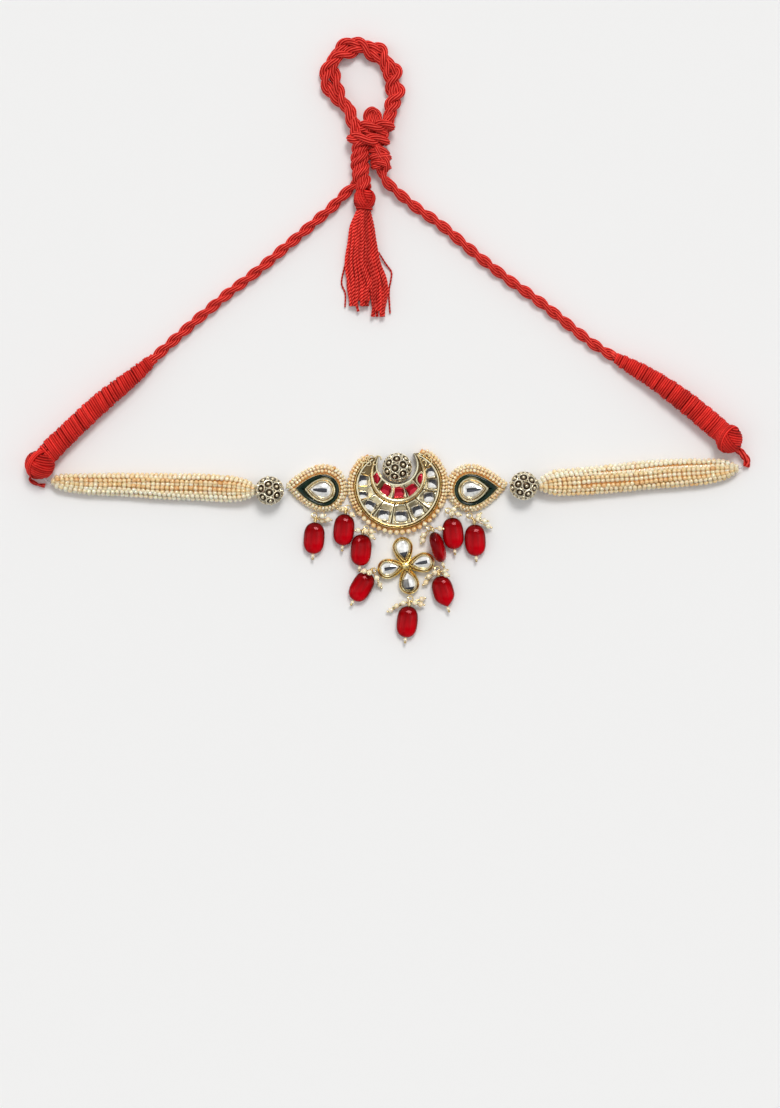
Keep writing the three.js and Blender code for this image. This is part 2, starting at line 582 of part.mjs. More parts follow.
function flower() {
  const { x, y, turn, reach, petal, past, middle, stone: gem, stoneReach } = FLOWER;
  const { back, wall, stoneFloor } = FLOWER_HEIGHT;
  const group = new THREE.Group();
  const placed = (geometry, i) => {
    return geometry.rotateZ(Math.PI).translate(reach - petal, 0, 0).rotateZ((i * Math.PI) / 2);
  };
  const quarters = [0, 1, 2, 3];
  const outline = dropShape(petal, reach - petal + past);
  const petals = quarters.map((i) => placed(prism(outline, 0, wall), i));
  const disc = new THREE.CylinderGeometry(middle, middle, back, 12).rotateX(Math.PI / 2);
  disc.translate(0, 0, back / 2);
  const pocket = dropShape(gem, stoneReach);
  const pockets = quarters.map((i) => placed(prism(pocket, stoneFloor, wall + 1), i));
  group.position.set(x, y, 0);
  group.rotation.z = radians(turn);
  group.add(mesh("flower_setting", cut(join([...petals, disc]), pockets), "gold"));
  const gemShape = dropShape(gem - CELL_GAP, stoneReach - 2 * CELL_GAP);
  quarters.forEach((i) => {
    const geometry = placed(stone(new THREE.Shape(gemShape.getPoints(4)), stoneFloor), i);
    group.add(mesh(`flower_stone_${i + 1}`, geometry, "clear"));
  });
  return group;
}

// A bead turned about Y with a bore: the profile runs up the outside and back down the bore.
function boredBead(halfLength, halfWidth, bore, rings, segments, squareness = 1) {
  const open = Math.acos((bore / halfWidth) ** (1 / squareness) * 1.3);
  const profile = [];
  for (let i = 0; i <= rings; i += 1) {
    const angle = open * ((2 * i) / rings - 1);
    const height = Math.sin(angle) / Math.sin(open);
    const shaped = Math.sign(height) * Math.abs(height) ** squareness;
    profile.push(new THREE.Vector2(halfWidth * Math.cos(angle) ** squareness, halfLength * shaped));
  }
  profile.push(new THREE.Vector2(bore, halfLength), new THREE.Vector2(bore, -halfLength));
  profile.push(profile[0].clone());
  return new THREE.LatheGeometry(profile, segments);
}

function openworkBall(name, { x, y, radius }) {
  const halfLength = Math.sqrt(radius ** 2 - BALL_BORE ** 2);
  const piece = mesh(name, boredBead(halfLength, radius, BALL_BORE, 8, 14), "antique");
  piece.rotation.z = Math.PI / 2;
  piece.position.set(x, y, radius);
  return piece;
}

function glassBead(number, { x, y, z, tilt, roll }) {
  const { halfLength, halfWidth, halfThickness, bore, rings, segments } = BEAD;
  const geometry = boredBead(halfLength, halfWidth, bore, rings, segments, 0.8);
  const position = geometry.attributes.position;
  for (let i = 0; i < position.count; i += 1) {
    const outside = Math.hypot(position.getX(i), position.getZ(i)) > bore * 1.05;
    if (outside) position.setZ(i, position.getZ(i) * (halfThickness / halfWidth));
  }
  const piece = mesh(`drop_bead_${number}`, geometry, "glass");
  piece.position.set(x, y, z);
  piece.rotation.set(0, radians(roll), radians(tilt), "ZYX");
  return piece;
}

// The pin through a bead: end beads below, a wound stem and an eye above, and the pearls round it.
function dropPin(number, { x, y, z, tilt, eye, pearls }) {
  const down = direction(tilt);
  const at = (distance) => [x + down.x * distance, y + down.y * distance, z];
  const { wire, coil, coilLength, eye: eyeRadius, endPearl, endBall } = PIN;
  const foot = BEAD.halfLength + GAP + endPearl;
  const head = -(BEAD.halfLength + GAP);
  const stem = at(head - coilLength / 2);
  const ring = new THREE.TorusGeometry(eyeRadius, wire, 4, 7).translate(...eye);
  const centre = new THREE.Vector3(...eye);
  const towards = new THREE.Vector3(stem[0] - centre.x, stem[1] - centre.y, 0).setLength(eyeRadius);
  const hook = centre.add(towards).toArray();
  const parts = [
    rod(at(foot + endPearl + endBall), at(head - coilLength), wire),
    sphere(at(foot), endPearl),
    sphere(at(foot + endPearl + endBall * 0.7), endBall),
    rod(at(head), at(head - coilLength), coil, 6),
    rod(stem, hook, wire * 1.5),
    ring,
  ];
  pearls.forEach((pearl) => {
    parts.push(rod(stem, pearl, wire, 3), sphere(pearl, CLUSTER_PEARL));
  });
  return mesh(`drop_pin_${number}`, join(parts), "pearl");
}

function strands(side) {
  const section = roundSection(24, 8, 0.14);
  const { inner, outer } = THREADS[side];
  const width = 2 * THREAD_RADIUS;
  const bundle = loft(section, STRANDS[side]);
  const parts = [bundle, tube(inner, width, width, 6, 8), tube(outer, width, width, 6, 4)];
  return mesh(`pearl_strands_${side}`, join(parts), "pearl");
}

function wrap(side) {
  const { ball, rows, tail, tailRadius } = WRAPS[side];
  const width = 2 * tailRadius;
  const parts = [
    loft(roundSection(10), rows),
    sphere([ball.x, ball.y, ball.radius], ball.radius, 12, 8),
    tube(tail, width, width, 6, 6),
  ];
  return mesh(`wrap_${side}`, join(parts), "thread");
}

function cord(side) {
  const points = [];
  for (let i = 0; i < CORD_SIDES; i += 1) {
    const angle = (2 * Math.PI * (i + 0.5)) / CORD_SIDES;
    points.push(new THREE.Vector2(Math.cos(angle), Math.sin(angle)).multiplyScalar(CORD_DIAMETER / 2));
  }
  const geometry = new THREE.ExtrudeGeometry(new THREE.Shape(points), {
    steps: CORD_STEPS, extrudePath: curveThrough(CORDS[side]), bevelEnabled: false,
  });
  return mesh(`cord_${side}`, geometry, "thread");
}

// One turn of cord round the knot's core, lying in a plane across the core.
function knotTurn({ x, y, z, width, height, cord: thick }) {
  const geometry = new THREE.TorusGeometry(1, 0.5, 6, 12).rotateX(Math.PI / 2);
  const position = geometry.attributes.position;
  for (let i = 0; i < position.count; i += 1) {
    const angle = Math.atan2(position.getZ(i), position.getX(i));
    const out = Math.hypot(position.getX(i), position.getZ(i)) - 1;
    const across = (width - thick) / 2 + out * thick;
    const upwards = (height - thick) / 2 + out * thick;
    const depth = position.getY(i) * thick;
    position.setXYZ(i, x + across * Math.cos(angle), y + depth, z + upwards * Math.sin(angle));
  }
  return geometry;
}

function knot() {
  const { lump, coils, core, smallKnot, leg, exits } = KNOT;
  const parts = [
    ellipsoid(lump, 10, 6),
    ...coils.map(knotTurn),
    loft(roundSection(8), core),
    ellipsoid(smallKnot, 10, 6),
    loft(roundSection(8), leg),
    ...exits.map((route) => tube(route, CORD_DIAMETER, CORD_DIAMETER, 8, 3)),
  ];
  return mesh("cord_knot", join(parts), "thread");
}

function tassel() {
  const parts = [ellipsoid(TASSEL.head, 10, 6), loft(roundSection(20, 10, 0.12), TASSEL.skirt)];
  return mesh("tassel", join(parts), "thread");
}

const necklace = new THREE.Group();
necklace.add(crescent());
necklace.add(openworkBall("crescent_ball", CRESCENT_BALL));
PEARS.forEach((row) => necklace.add(pear(row)));
necklace.add(flower());
STRAND_BALLS.forEach((ball) => necklace.add(openworkBall(`strand_ball_${ball.side}`, ball)));
DROPS.forEach((drop, i) => necklace.add(glassBead(i + 1, drop), dropPin(i + 1, drop)));
["left", "right"].forEach((side) => necklace.add(strands(side), wrap(side), cord(side)));
necklace.add(mesh("cord_loop", loft(roundSection(8), LOOP), "thread"));
necklace.add(knot(), tassel());

// The origin is the middle of the whole necklace, on the surface it lies on.
const box = new THREE.Box3().setFromObject(necklace, true);
const middle = box.getCenter(new THREE.Vector3());
necklace.position.set(-middle.x, -middle.y, -box.min.z);

export default necklace;
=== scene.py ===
import math

import bpy
import numpy as np
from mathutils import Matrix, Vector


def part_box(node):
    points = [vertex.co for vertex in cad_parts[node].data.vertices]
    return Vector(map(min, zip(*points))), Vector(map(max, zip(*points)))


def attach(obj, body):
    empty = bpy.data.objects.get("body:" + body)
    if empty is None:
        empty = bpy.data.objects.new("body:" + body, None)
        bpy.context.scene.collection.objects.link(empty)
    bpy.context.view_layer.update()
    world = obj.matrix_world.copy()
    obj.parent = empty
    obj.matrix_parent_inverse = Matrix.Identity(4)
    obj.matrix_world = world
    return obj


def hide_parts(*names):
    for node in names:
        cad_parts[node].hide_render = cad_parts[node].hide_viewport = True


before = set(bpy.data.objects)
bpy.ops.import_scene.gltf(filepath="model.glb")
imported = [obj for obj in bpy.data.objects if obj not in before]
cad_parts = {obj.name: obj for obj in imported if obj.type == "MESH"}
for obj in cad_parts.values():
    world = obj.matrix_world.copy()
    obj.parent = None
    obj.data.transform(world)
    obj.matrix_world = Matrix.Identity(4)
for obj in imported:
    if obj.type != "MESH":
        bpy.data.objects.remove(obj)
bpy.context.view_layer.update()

# The cords' routes are metres. All other lengths are millimetres on the necklace's drawing, with +X
# along the band and +Y towards the loop; MM and ORIGIN take them to metres in the frame.
MM = 0.001
TAU = 2 * math.pi
GOLDEN, GOLDEN_SHARE = (1 + 5**0.5) / 2, 0.618
RANDOM = np.random.default_rng(11)
BALL_PLACE = (3.12, -48.8)
ball_low, ball_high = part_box("crescent_ball")
ORIGIN = np.array([
    (ball_low.x + ball_high.x) / 2 - BALL_PLACE[0] * MM,
    (ball_low.y + ball_high.y) / 2 - BALL_PLACE[1] * MM,
    0.0,
])


# Camera, floor and light

PHOTO_SIZE = (780, 1108)
PIXEL = 0.38
ZERO_PIXEL = (389, 339.5)
LENS, SENSOR = 100, 36
# The room's brightness from the foot of the page, over the zenith at a half, to its head.
WORLD_BANDS = [
    (0.0, 0.45), (0.22, 0.3), (0.37, 0.1), (0.45, 0.8), (0.55, 1.3), (0.62, 0.6), (0.68, 0.12), (0.8, 1.0),
    (1.0, 0.7),
]
PATCH_SCALE, PATCH_NOISE, PATCH_LIGHT = 2.6, (0.35, 0.65), (0.45, 1.35)
# Suns: direction, strength, angle and colour.
SUNS = {
    "key": ((-0.12, -0.5, -0.86), 1.5, 0.35, (1.0, 0.99, 0.97)),
    "fill": ((0.5, 0.25, -0.8), 0.25, 0.9, (0.98, 0.99, 1.0)),
}
FLOOR_HALF, FLOOR_DROP, PAPER_WHITE = 4.0, 0.0001, 0.905


def add_object(name, data):
    made = bpy.data.objects.new(name, data)
    bpy.context.scene.collection.objects.link(made)
    return made


def add_camera():
    data = bpy.data.cameras.new("camera")
    data.lens, data.sensor_width = LENS, SENSOR
    camera = bpy.context.scene.camera = add_object("camera", data)
    width, height = PHOTO_SIZE
    camera.location = (
        (width / 2 - ZERO_PIXEL[0]) * PIXEL * MM + ORIGIN[0],
        (ZERO_PIXEL[1] - height / 2) * PIXEL * MM + ORIGIN[1],
        height * PIXEL * MM * LENS / SENSOR,
    )


def add_suns():
    for name, (toward, strength, angle, color) in SUNS.items():
        data = bpy.data.lights.new(name, "SUN")
        data.energy, data.angle, data.color = strength, angle, color
        sun = add_object(name, data)
        sun.rotation_mode = "QUATERNION"
        sun.rotation_quaternion = Vector(toward).to_track_quat("-Z", "Y")


def add_world():
    """A white room whose light comes in bands across the page, broken by soft patches."""
    world = bpy.context.scene.world = bpy.data.worlds.new("studio")
    world.use_nodes = True
    nodes = Nodes(world.node_tree)
    place = nodes.add("TexCoord").outputs["Generated"]
    across = nodes.add("SeparateXYZ", {0: place}).outputs["Y"]
    half = nodes.add("Math", {0: across, 1: 0.5, 2: 0.5}, "MULTIPLY_ADD").outputs[0]
    bands = nodes.ramp(half, WORLD_BANDS)
    patches = nodes.add("TexNoise", {"Vector": place, "Scale": PATCH_SCALE, "Detail": 1.0}).outputs["Fac"]
    (low, high), (dim, bright) = PATCH_NOISE, PATCH_LIGHT
    spread = nodes.add("MapRange", {
        "Value": patches, "From Min": low, "From Max": high, "To Min": dim, "To Max": bright,
    }).outputs[0]
    product = nodes.add("Math", {0: bands, 1: spread}, "MULTIPLY").outputs[0]
    nodes.join(product, world.node_tree.nodes["Background"].inputs["Color"])


def add_floor():
    half = FLOOR_HALF
    mesh = bpy.data.meshes.new("floor")
    corners = [(-half, -half, 0), (half, -half, 0), (half, half, 0), (-half, half, 0)]
    mesh.from_pydata(corners, [], [(0, 1, 2, 3)])
    floor = add_object("floor", mesh)
    floor.location.z = -FLOOR_DROP
    mesh.materials.append(Look("paper", (PAPER_WHITE,) * 3, 0.9, specular_ior_level=0.1).material)


# Shapes: each is one closed body with a shade and a lay (along, around, height of the ridge) at its points


class Solid:
    def __init__(self, points, faces, shade=0.5, lay=None):
        self.points = np.asarray(points, float)
        self.faces = faces
        self.shade = np.broadcast_to(shade, len(self.points)).astype(float)
        self.lay = np.zeros((len(self.points), 3)) if lay is None else lay


# Edges bent by more than this many degrees are sharp, on rounded pieces and on cut stones.
SMOOTH, FACETED = 80, 8


def piece(name, solids, look, nodes=(), crease=SMOOTH, by_face=False):
    """One object made of closed bodies, in place of some of the model's nodes. Shade is kept at the
    points, or at the faces for cut stones."""
    points = np.concatenate([solid.points for solid in solids]) * MM + ORIGIN
    corners, sizes, first = [], [], 0
    for solid in solids:
        for faces in solid.faces:
            corners.append((faces + first).ravel())
            sizes.append(np.full(len(faces), faces.shape[1]))
        first += len(solid.points)
    corners, sizes = np.concatenate(corners), np.concatenate(sizes)
    mesh = bpy.data.meshes.new(name)
    mesh.vertices.add(len(points))
    mesh.vertices.foreach_set("co", points.astype(np.float32).ravel())
    mesh.loops.add(len(corners))
    mesh.loops.foreach_set("vertex_index", corners.astype(np.int32))
    mesh.polygons.add(len(sizes))
    mesh.polygons.foreach_set("loop_start", (np.cumsum(sizes) - sizes).astype(np.int32))
    mesh.update(calc_edges=True)
    shade = mesh.attributes.new("shade", "FLOAT", "FACE" if by_face else "POINT")
    shade.data.foreach_set("value", np.concatenate([s.shade for s in solids]).astype(np.float32))
    lay = mesh.attributes.new("lay", "FLOAT_VECTOR", "POINT")
    lay.data.foreach_set("vector", np.concatenate([s.lay for s in solids]).astype(np.float32).ravel())
    mesh.shade_smooth()
    mesh.set_sharp_from_angle(angle=math.radians(FACETED if by_face else crease))
    mesh.materials.append(look.material)
    made = add_object(name, mesh)
    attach(made, "root")
    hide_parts(*nodes)
    return made


def drawn_shade(mean, spread, count=None):
    return np.clip(RANDOM.normal(mean, spread, count), 0, 1)


def unit(rows):
    return rows / np.linalg.norm(rows, axis=-1, keepdims=True)


def run_length(path):
    return np.append(0, np.cumsum(np.linalg.norm(np.diff(path[:, :3], axis=0), axis=1)))


def evenly(points, step):
    """Points at even steps along a row of points, with any further columns carried along."""
    run = run_length(points)
    at = np.linspace(0, run[-1], max(2, round(run[-1] / step) + 1))
    return np.stack([np.interp(at, run, column) for column in points.T], axis=1)


def smooth(points, step, closed=False):
    """Even steps along a smooth curve through a few points. A closed one leaves out its last point."""
    points = np.asarray(points, float)
    if closed:
        row = np.vstack([points[-1], points, points[:2]])
    else:
        row = np.vstack([2 * points[0] - points[1], points, 2 * points[-1] - points[-2]])
    share = np.linspace(0, 1, 16, endpoint=False)[:, None]
    spans = []
    for a, b, c, d in zip(row, row[1:], row[2:], row[3:]):
        bend = (2 * a - 5 * b + 4 * c - d) * share**2 + (3 * b - a - 3 * c + d) * share**3
        spans.append(b + 0.5 * ((c - a) * share + bend))
    spans.append(row[-2:-1])
    made = evenly(np.vstack(spans), step)
    return made[:-1] if closed else made


def directions(path, closed):
    if closed:
        return unit(np.roll(path, -1, 0) - np.roll(path, 1, 0))
    return unit(np.gradient(path, axis=0))


def carried(path, closed=False):
    """Sideways directions that turn as little as possible along a path."""
    along = directions(path, closed)
    side = np.empty_like(path)
    current = np.cross(along[0], [0.3, 0.2, 1.0])
    for i, ahead in enumerate(along):
        current = current - ahead * (current @ ahead)
        current = current / np.linalg.norm(current)
        side[i] = current
    if closed:
        last = unit(side[-1] - along[0] * (side[-1] @ along[0]))
        gap = math.atan2(np.cross(last, side[0]) @ along[0], last @ side[0])
        turn = (gap * np.arange(len(path)) / len(path))[:, None]
        side = side * np.cos(turn) + np.cross(along, side) * np.sin(turn)
    return side


def frames(path, side=None, closed=False):
    along = directions(path, closed)
    if side is None:
        side = np.cross([0, 0, 1.0], along)
    side = unit(side - along * (side * along).sum(1, keepdims=True))
    return along, side, np.cross(along, side)


def grid(rings, closed=False, shade=0.5, lay=None):
    """A body through rings of points. Its ends are capped, unless the last ring meets the first."""
    count, around = rings.shape[:2]
    index = np.arange(count * around).reshape(count, around)
    here, ahead = (index, np.roll(index, -1, 0)) if closed else (index[:-1], index[1:])
    quads = np.stack([here, np.roll(here, -1, 1), np.roll(ahead, -1, 1), ahead], axis=-1).reshape(-1, 4)
    points, faces = rings.reshape(-1, 3), [quads]
    if not closed:
        centres = [rings[0].mean(0), rings[-1].mean(0)]
        low, high = len(points), len(points) + 1
        first, last = index[0], index[-1]
        caps = [
            np.stack([np.full(around, low), np.roll(first, -1), first], axis=-1),
            np.stack([np.full(around, high), last, np.roll(last, -1)], axis=-1),
        ]
        points, faces = np.vstack([points, centres]), faces + [np.vstack(caps)]
    if np.ndim(shade) == 1:
        shade = np.asarray(shade)[:, None]
    shades = np.broadcast_to(shade, (count, around)).ravel()
    lays = np.zeros((count * around, 3)) if lay is None else lay.reshape(-1, 3)
    if not closed:
        shades = np.append(shades, [shades[0], shades[-1]])
        lays = np.vstack([lays, lays[0], lays[-1]])
    return Solid(points, faces, shades, lays)


def full_turn(steps):
    return TAU * np.arange(steps) / steps


def orbit(angle, first, second):
    """Points at angles round a centre, from two directions or two rows of them."""
    return np.cos(angle)[:, None] * first + np.sin(angle)[:, None] * second


def circle(corners):
    return orbit(full_turn(corners), [1.0, 0.0], [0.0, 1.0])


def ridged(ridges, depth, steps=4):
    """A round section with a rounded ridge for each yarn, and each point's height on its ridge."""
    height = np.abs(np.sin(ridges * full_turn(ridges * steps) / 2))
    reach = 1 - depth * (1 - height)
    return reach[:, None] * circle(ridges * steps), height


def sweep(path, section, size=1.0, side=None, turn=0.0, closed=False, shade=0.5, height=1.0):
    """A section carried along a path, with its size and turn at each point."""
    path = np.asarray(path, float)
    _, side, rise = frames(path, side, closed)
    size = np.asarray(size, float)
    size = size if size.ndim == 2 else np.broadcast_to(size, (2, len(path))).T
    turn = np.broadcast_to(turn, len(path))[:, None]
    across = size[:, :1] * (section[:, 0] * np.cos(turn) - section[:, 1] * np.sin(turn))
    upward = size[:, 1:] * (section[:, 0] * np.sin(turn) + section[:, 1] * np.cos(turn))
    rings = path[:, None] + across[..., None] * side[:, None] + upward[..., None] * rise[:, None]
    lay = np.empty(rings.shape)
    lay[..., 0] = run_length(path)[:, None]
    lay[..., 1] = np.arange(len(section)) / len(section)
    lay[..., 2] = height
    return grid(rings, closed, shade, lay)


def tube(path, radius, corners=8, **options):
    return sweep(path, circle(corners), radius, **options)


# A rope's plies: their centres' and their own radius as shares of the rope's, and the depth between yarns.
PLY_ORBIT, PLY_RADIUS, YARN_DEPTH = 0.49, 0.57, 0.24


def rope(
    path, radius, pitch, plies=2, yarns=7, flat=1.0, start=0.0,
    side=None, closed=False, part=None, shade=0.5,
):
    """Plies wound round a line, each ridged with its yarns. A part is the first and last step kept."""
    path = np.asarray(path, float)
    side = np.cross([0, 0, 1.0], directions(path, closed)) if side is None else side
    _, side, rise = frames(path, side, closed)
    run = run_length(path)
    turns = run / pitch
    if closed:
        whole = run[-1] + np.linalg.norm(path[0] - path[-1])
        turns = run / whole * max(1, round(whole / pitch))
    section, height = ridged(yarns, YARN_DEPTH)
    kept = slice(*part) if part else slice(None)
    solids = []
    for ply in range(plies):
        centre = path + radius * PLY_ORBIT * orbit(start + TAU * (ply / plies + turns), side, flat * rise)
        twist = ply - TAU * turns / 2
        solids.append(sweep(
            centre[kept], section, radius * PLY_RADIUS, side=side[kept], turn=twist[kept],
            closed=closed, shade=shade, height=height,
        ))
    return solids


def ball_shape(segments, rings):
    """Points and faces of a ball of radius 1."""
    points = [(0, 0, -1)]
    for ring in range(1, rings):
        level = -math.cos(math.pi * ring / rings)
        reach = math.sqrt(1 - level**2)
        points += [(reach * x, reach * y, level) for x, y in circle(segments)]
    points.append((0, 0, 1))
    index = 1 + np.arange(segments * (rings - 1)).reshape(rings - 1, segments)
    here, ahead = index[:-1], index[1:]
    quads = np.stack([here, np.roll(here, -1, 1), np.roll(ahead, -1, 1), ahead], axis=-1).reshape(-1, 4)
    low = np.stack([np.zeros(segments, int), np.roll(index[0], -1), index[0]], axis=-1)
    high = np.stack([np.full(segments, len(points) - 1), index[-1], np.roll(index[-1], -1)], axis=-1)
    return np.array(points), quads, np.vstack([low, high])


def balls(centres, radius, shade=0.5, squash=(1, 1, 1), segments=12, rings=8):
    """Many balls as one body of separate shells."""
    centres = np.asarray(centres, float).reshape(-1, 3)
    shape, quads, caps = ball_shape(segments, rings)
    radius = np.broadcast_to(radius, len(centres))[:, None, None]
    points = centres[:, None] + radius * (shape * squash)[None]
    first = (np.arange(len(centres)) * len(shape))[:, None, None]
    faces = [(quads[None] + first).reshape(-1, 4), (caps[None] + first).reshape(-1, 3)]
    shades = np.repeat(np.broadcast_to(shade, len(centres)), len(shape))
    lay = np.broadcast_to(shape, (len(centres), *shape.shape)).reshape(-1, 3)
    return Solid(points.reshape(-1, 3), faces, shades, lay)


# Materials


class Nodes:
    """Node building on a tree: each method adds nodes and returns the socket or node that they end in."""

    def __init__(self, tree):
        self.tree = tree

    def join(self, socket, target):
        self.tree.links.new(socket, target)

    def add(self, kind, inputs=(), operation=None):
        """A node with its inputs, by name or place, linked to sockets or set to values."""
        node = self.tree.nodes.new("ShaderNode" + kind)
        if operation:
            node.operation = operation
        for key, value in dict(inputs).items():
            if isinstance(value, bpy.types.NodeSocket):
                self.join(value, node.inputs[key])
            else:
                node.inputs[key].default_value = value
        return node

    def ramp(self, factor, stops):
        """Colours along a factor, each a place and a colour or grey."""
        node = self.add("ValToRGB", {0: factor})
        elements = node.color_ramp.elements
        while len(elements) < len(stops):
            elements.new(0.5)
        for element, (place, color) in zip(elements, stops):
            element.position = place
            element.color = (*color, 1) if np.ndim(color) else (color, color, color, 1)
        return node.outputs["Color"]

    def noise(self, scale, detail=3.0, stretch=None, vector=None):
        """Noise over the object's place, or over another vector, stretched along its axes."""
        if vector is None:
            vector = self.add("TexCoord").outputs["Object"]
        if stretch:
            vector = self.add("VectorMath", {0: vector, 1: stretch}, "MULTIPLY").outputs[0]
        return self.add("TexNoise", {"Vector": vector, "Scale": scale, "Detail": detail}).outputs["Fac"]

    def attribute(self, name, output="Fac"):
        node = self.add("Attribute")
        node.attribute_name = name
        return node.outputs[output]

    def times(self, first, second):
        node = self.tree.nodes.new("ShaderNodeMix")
        node.data_type, node.blend_type = "RGBA", "MULTIPLY"
        node.inputs[0].default_value = 1.0
        self.join(first, node.inputs[6])
        self.join(second, node.inputs[7])
        return node.outputs[2]


class Look(Nodes):
    """A material with its shader, and a slot name that is kept but not used."""

    def __init__(self, name, base, roughness, slot=None, **values):
        self.material = bpy.data.materials.new(name)
        self.material.use_nodes = True
        self.slot = slot
        super().__init__(self.material.node_tree)
        self.shader = self.tree.nodes["Principled BSDF"]
        self.set("Base Color", (*base, 1))
        self.set("Roughness", roughness)
        for key, value in values.items():
            self.set(key.replace("_", " ").title().replace("Ior", "IOR"), value)

    def set(self, name, value):
        self.shader.inputs[name].default_value = value

    def feed(self, name, socket):
        self.join(socket, self.shader.inputs[name])

    def bump(self, height, strength, distance):
        inputs = {"Height": height, "Strength": strength, "Distance": distance}
        self.feed("Normal", self.add("Bump", inputs).outputs[0])


def thread_look(name, groove_shade, body, crest_highlight):
    """Twisted yarn: painted shade in the grooves between ridges and a painted highlight on their crests, picked
    by the ridge height in the lay, with fine fibres along each yarn.
    """
    look = Look(
        name, body, 0.72, "red_thread", sheen_weight=0.25, sheen_roughness=0.4, specular_ior_level=0.2,
        sheen_tint=(*crest_highlight, 1), specular_tint=(*crest_highlight, 1),
    )
    lay = look.attribute("lay", "Vector")
    height = look.add("SeparateXYZ", {0: lay}).outputs["Z"]
    # Painted light: the ridge height picks painted shade in the grooves and a painted highlight on the crests.
    color = look.ramp(height, [(0.0, groove_shade), (0.55, body), (1.0, crest_highlight)])
    fibre = look.noise(1.0, 2.0, (0.9, 90.0, 0.0), lay)
    for factor, stops in [
        (fibre, [(0.3, 0.6), (0.7, 1.3)]),
        (look.noise(260.0), [(0.3, 0.86), (0.7, 1.1)]),
        (look.attribute("shade"), [(0.0, 0.7), (1.0, 1.3)]),
    ]:
        color = look.times(color, look.ramp(factor, stops))
    look.feed("Base Color", color)
    look.bump(fibre, 0.5, 0.00012)
    return look


def shaded_look(name, slot, base, roughness, stops, cloud=None, grain=None, streaks=False, **values):
    """Colours picked by the shade, with clouds or streaks of tone and a finely uneven surface."""
    look = Look(name, base, roughness, slot, **values)
    color = look.ramp(look.attribute("shade"), stops)
    if streaks:
        streak = look.noise(1.0, 2.0, (2.2, 0.12, 0.5), look.attribute("lay", "Vector"))
        color = look.times(color, look.ramp(streak, [(0.35, 0.7), (0.65, 1.2)]))
    if cloud:
        (scale, detail), tones = cloud
        color = look.times(color, look.ramp(look.noise(scale, detail), tones))
    look.feed("Base Color", color)
    if grain:
        scale, detail, strength, distance = grain
        look.bump(look.noise(scale, detail), strength, distance)
    return look


def gold_look(name, slot, dark, body, bright, roughness):
    """Polished gilt: the shade picks the tone, from painted shade at the dark end to a painted highlight at the
    bright end, with a soft hammered surface and worn roughness.
    """
    look = shaded_look(
        name, slot, body, roughness, [(0.0, dark), (0.5, body), (1.0, bright)],
        cloud=((420.0, 4.0), [(0.3, 0.78), (0.7, 1.12)]), grain=(700.0, 2.0, 0.25, 0.0002), metallic=1.0,
    )
    wear = look.ramp(look.noise(900.0), [(0.35, roughness * 0.7), (0.7, roughness * 1.5)])
    look.feed("Roughness", wear)
    return look


def clouded_look(name, slot, base, roughness, factor, stops, grain=None, **values):
    """Colours picked by noise alone."""
    look = Look(name, base, roughness, slot, **values)
    look.feed("Base Color", look.ramp(look.noise(*factor), stops))
    if grain:
        scale, detail, strength, distance = grain
        look.bump(look.noise(scale, detail), strength, distance)
    return look


# Red thread colours: painted groove shade, body red, painted crest highlight.
RED = thread_look("red_thread", (0.1, 0.001, 0.001), (0.65, 0.01, 0.008), (1.0, 0.11, 0.085))
GOLD = gold_look("gilt", "gold", (0.05, 0.022, 0.006), (0.98, 0.74, 0.36), (1.0, 0.95, 0.7), 0.2)
RICH_GOLD = gold_look("rich_gilt", "gold", (0.4, 0.2, 0.05), (1.0, 0.78, 0.32), (1.0, 0.93, 0.6), 0.22)
# Muted gilt of the openwork balls; its dark end is used as painted shade in their hollows.
ANTIQUE = gold_look(
    "antique_gilt", "antique_gold", (0.09, 0.06, 0.035), (0.8, 0.66, 0.4), (1.0, 0.96, 0.8), 0.26,
)
# Glossy seed pearls, each a slightly different cream; the ramp's deep orange end is painted shade and warm bounce
# light, used in the hollows.
PEARL = shaded_look(
    "seed_pearl", "pearl", (0.95, 0.69, 0.35), 0.2,
    [(0.0, (0.76, 0.34, 0.07)), (0.4, (0.95, 0.69, 0.35)), (1.0, (1.0, 0.93, 0.72))],
    cloud=((1400.0, 3.0), [(0.3, 0.9), (0.7, 1.05)]), coat_weight=1.0, coat_roughness=0.06,
    specular_ior_level=0.7, subsurface_weight=0.25, subsurface_scale=0.001,
    subsurface_radius=(1.0, 0.55, 0.25),
)
# Clear stones over silver foil: each facet's shade picks a painted reflection, dark or light.
FOIL_STONE = shaded_look(
    "foil_stone", "clear_stone", (0.8, 0.82, 0.84), 0.08,
    [(0.0, (0.004, 0.004, 0.008)), (0.3, (0.05, 0.055, 0.08)), (0.55, (0.5, 0.47, 0.4)),
     (0.8, (0.95, 0.95, 0.93))],
    cloud=((900.0, 2.0), [(0.35, 0.8), (0.65, 1.1)]), grain=(600.0, 1.0, 0.15, 0.0002),
    metallic=0.3, coat_weight=1.0, coat_roughness=0.02,
)
# Red stones: each facet's shade picks a painted reflection, dark red to pink.
RED_STONE = shaded_look(
    "red_stone", "red_stone", (0.5, 0.004, 0.02), 0.08,
    [(0.0, (0.06, 0.0, 0.003)), (0.5, (0.38, 0.001, 0.013)), (1.0, (0.8, 0.05, 0.09))],
    grain=(700.0, 1.0, 0.15, 0.0002), metallic=0.2, coat_weight=0.1, coat_roughness=0.02,
    specular_ior_level=0.3, specular_tint=(1.0, 0.4, 0.45, 1),
)
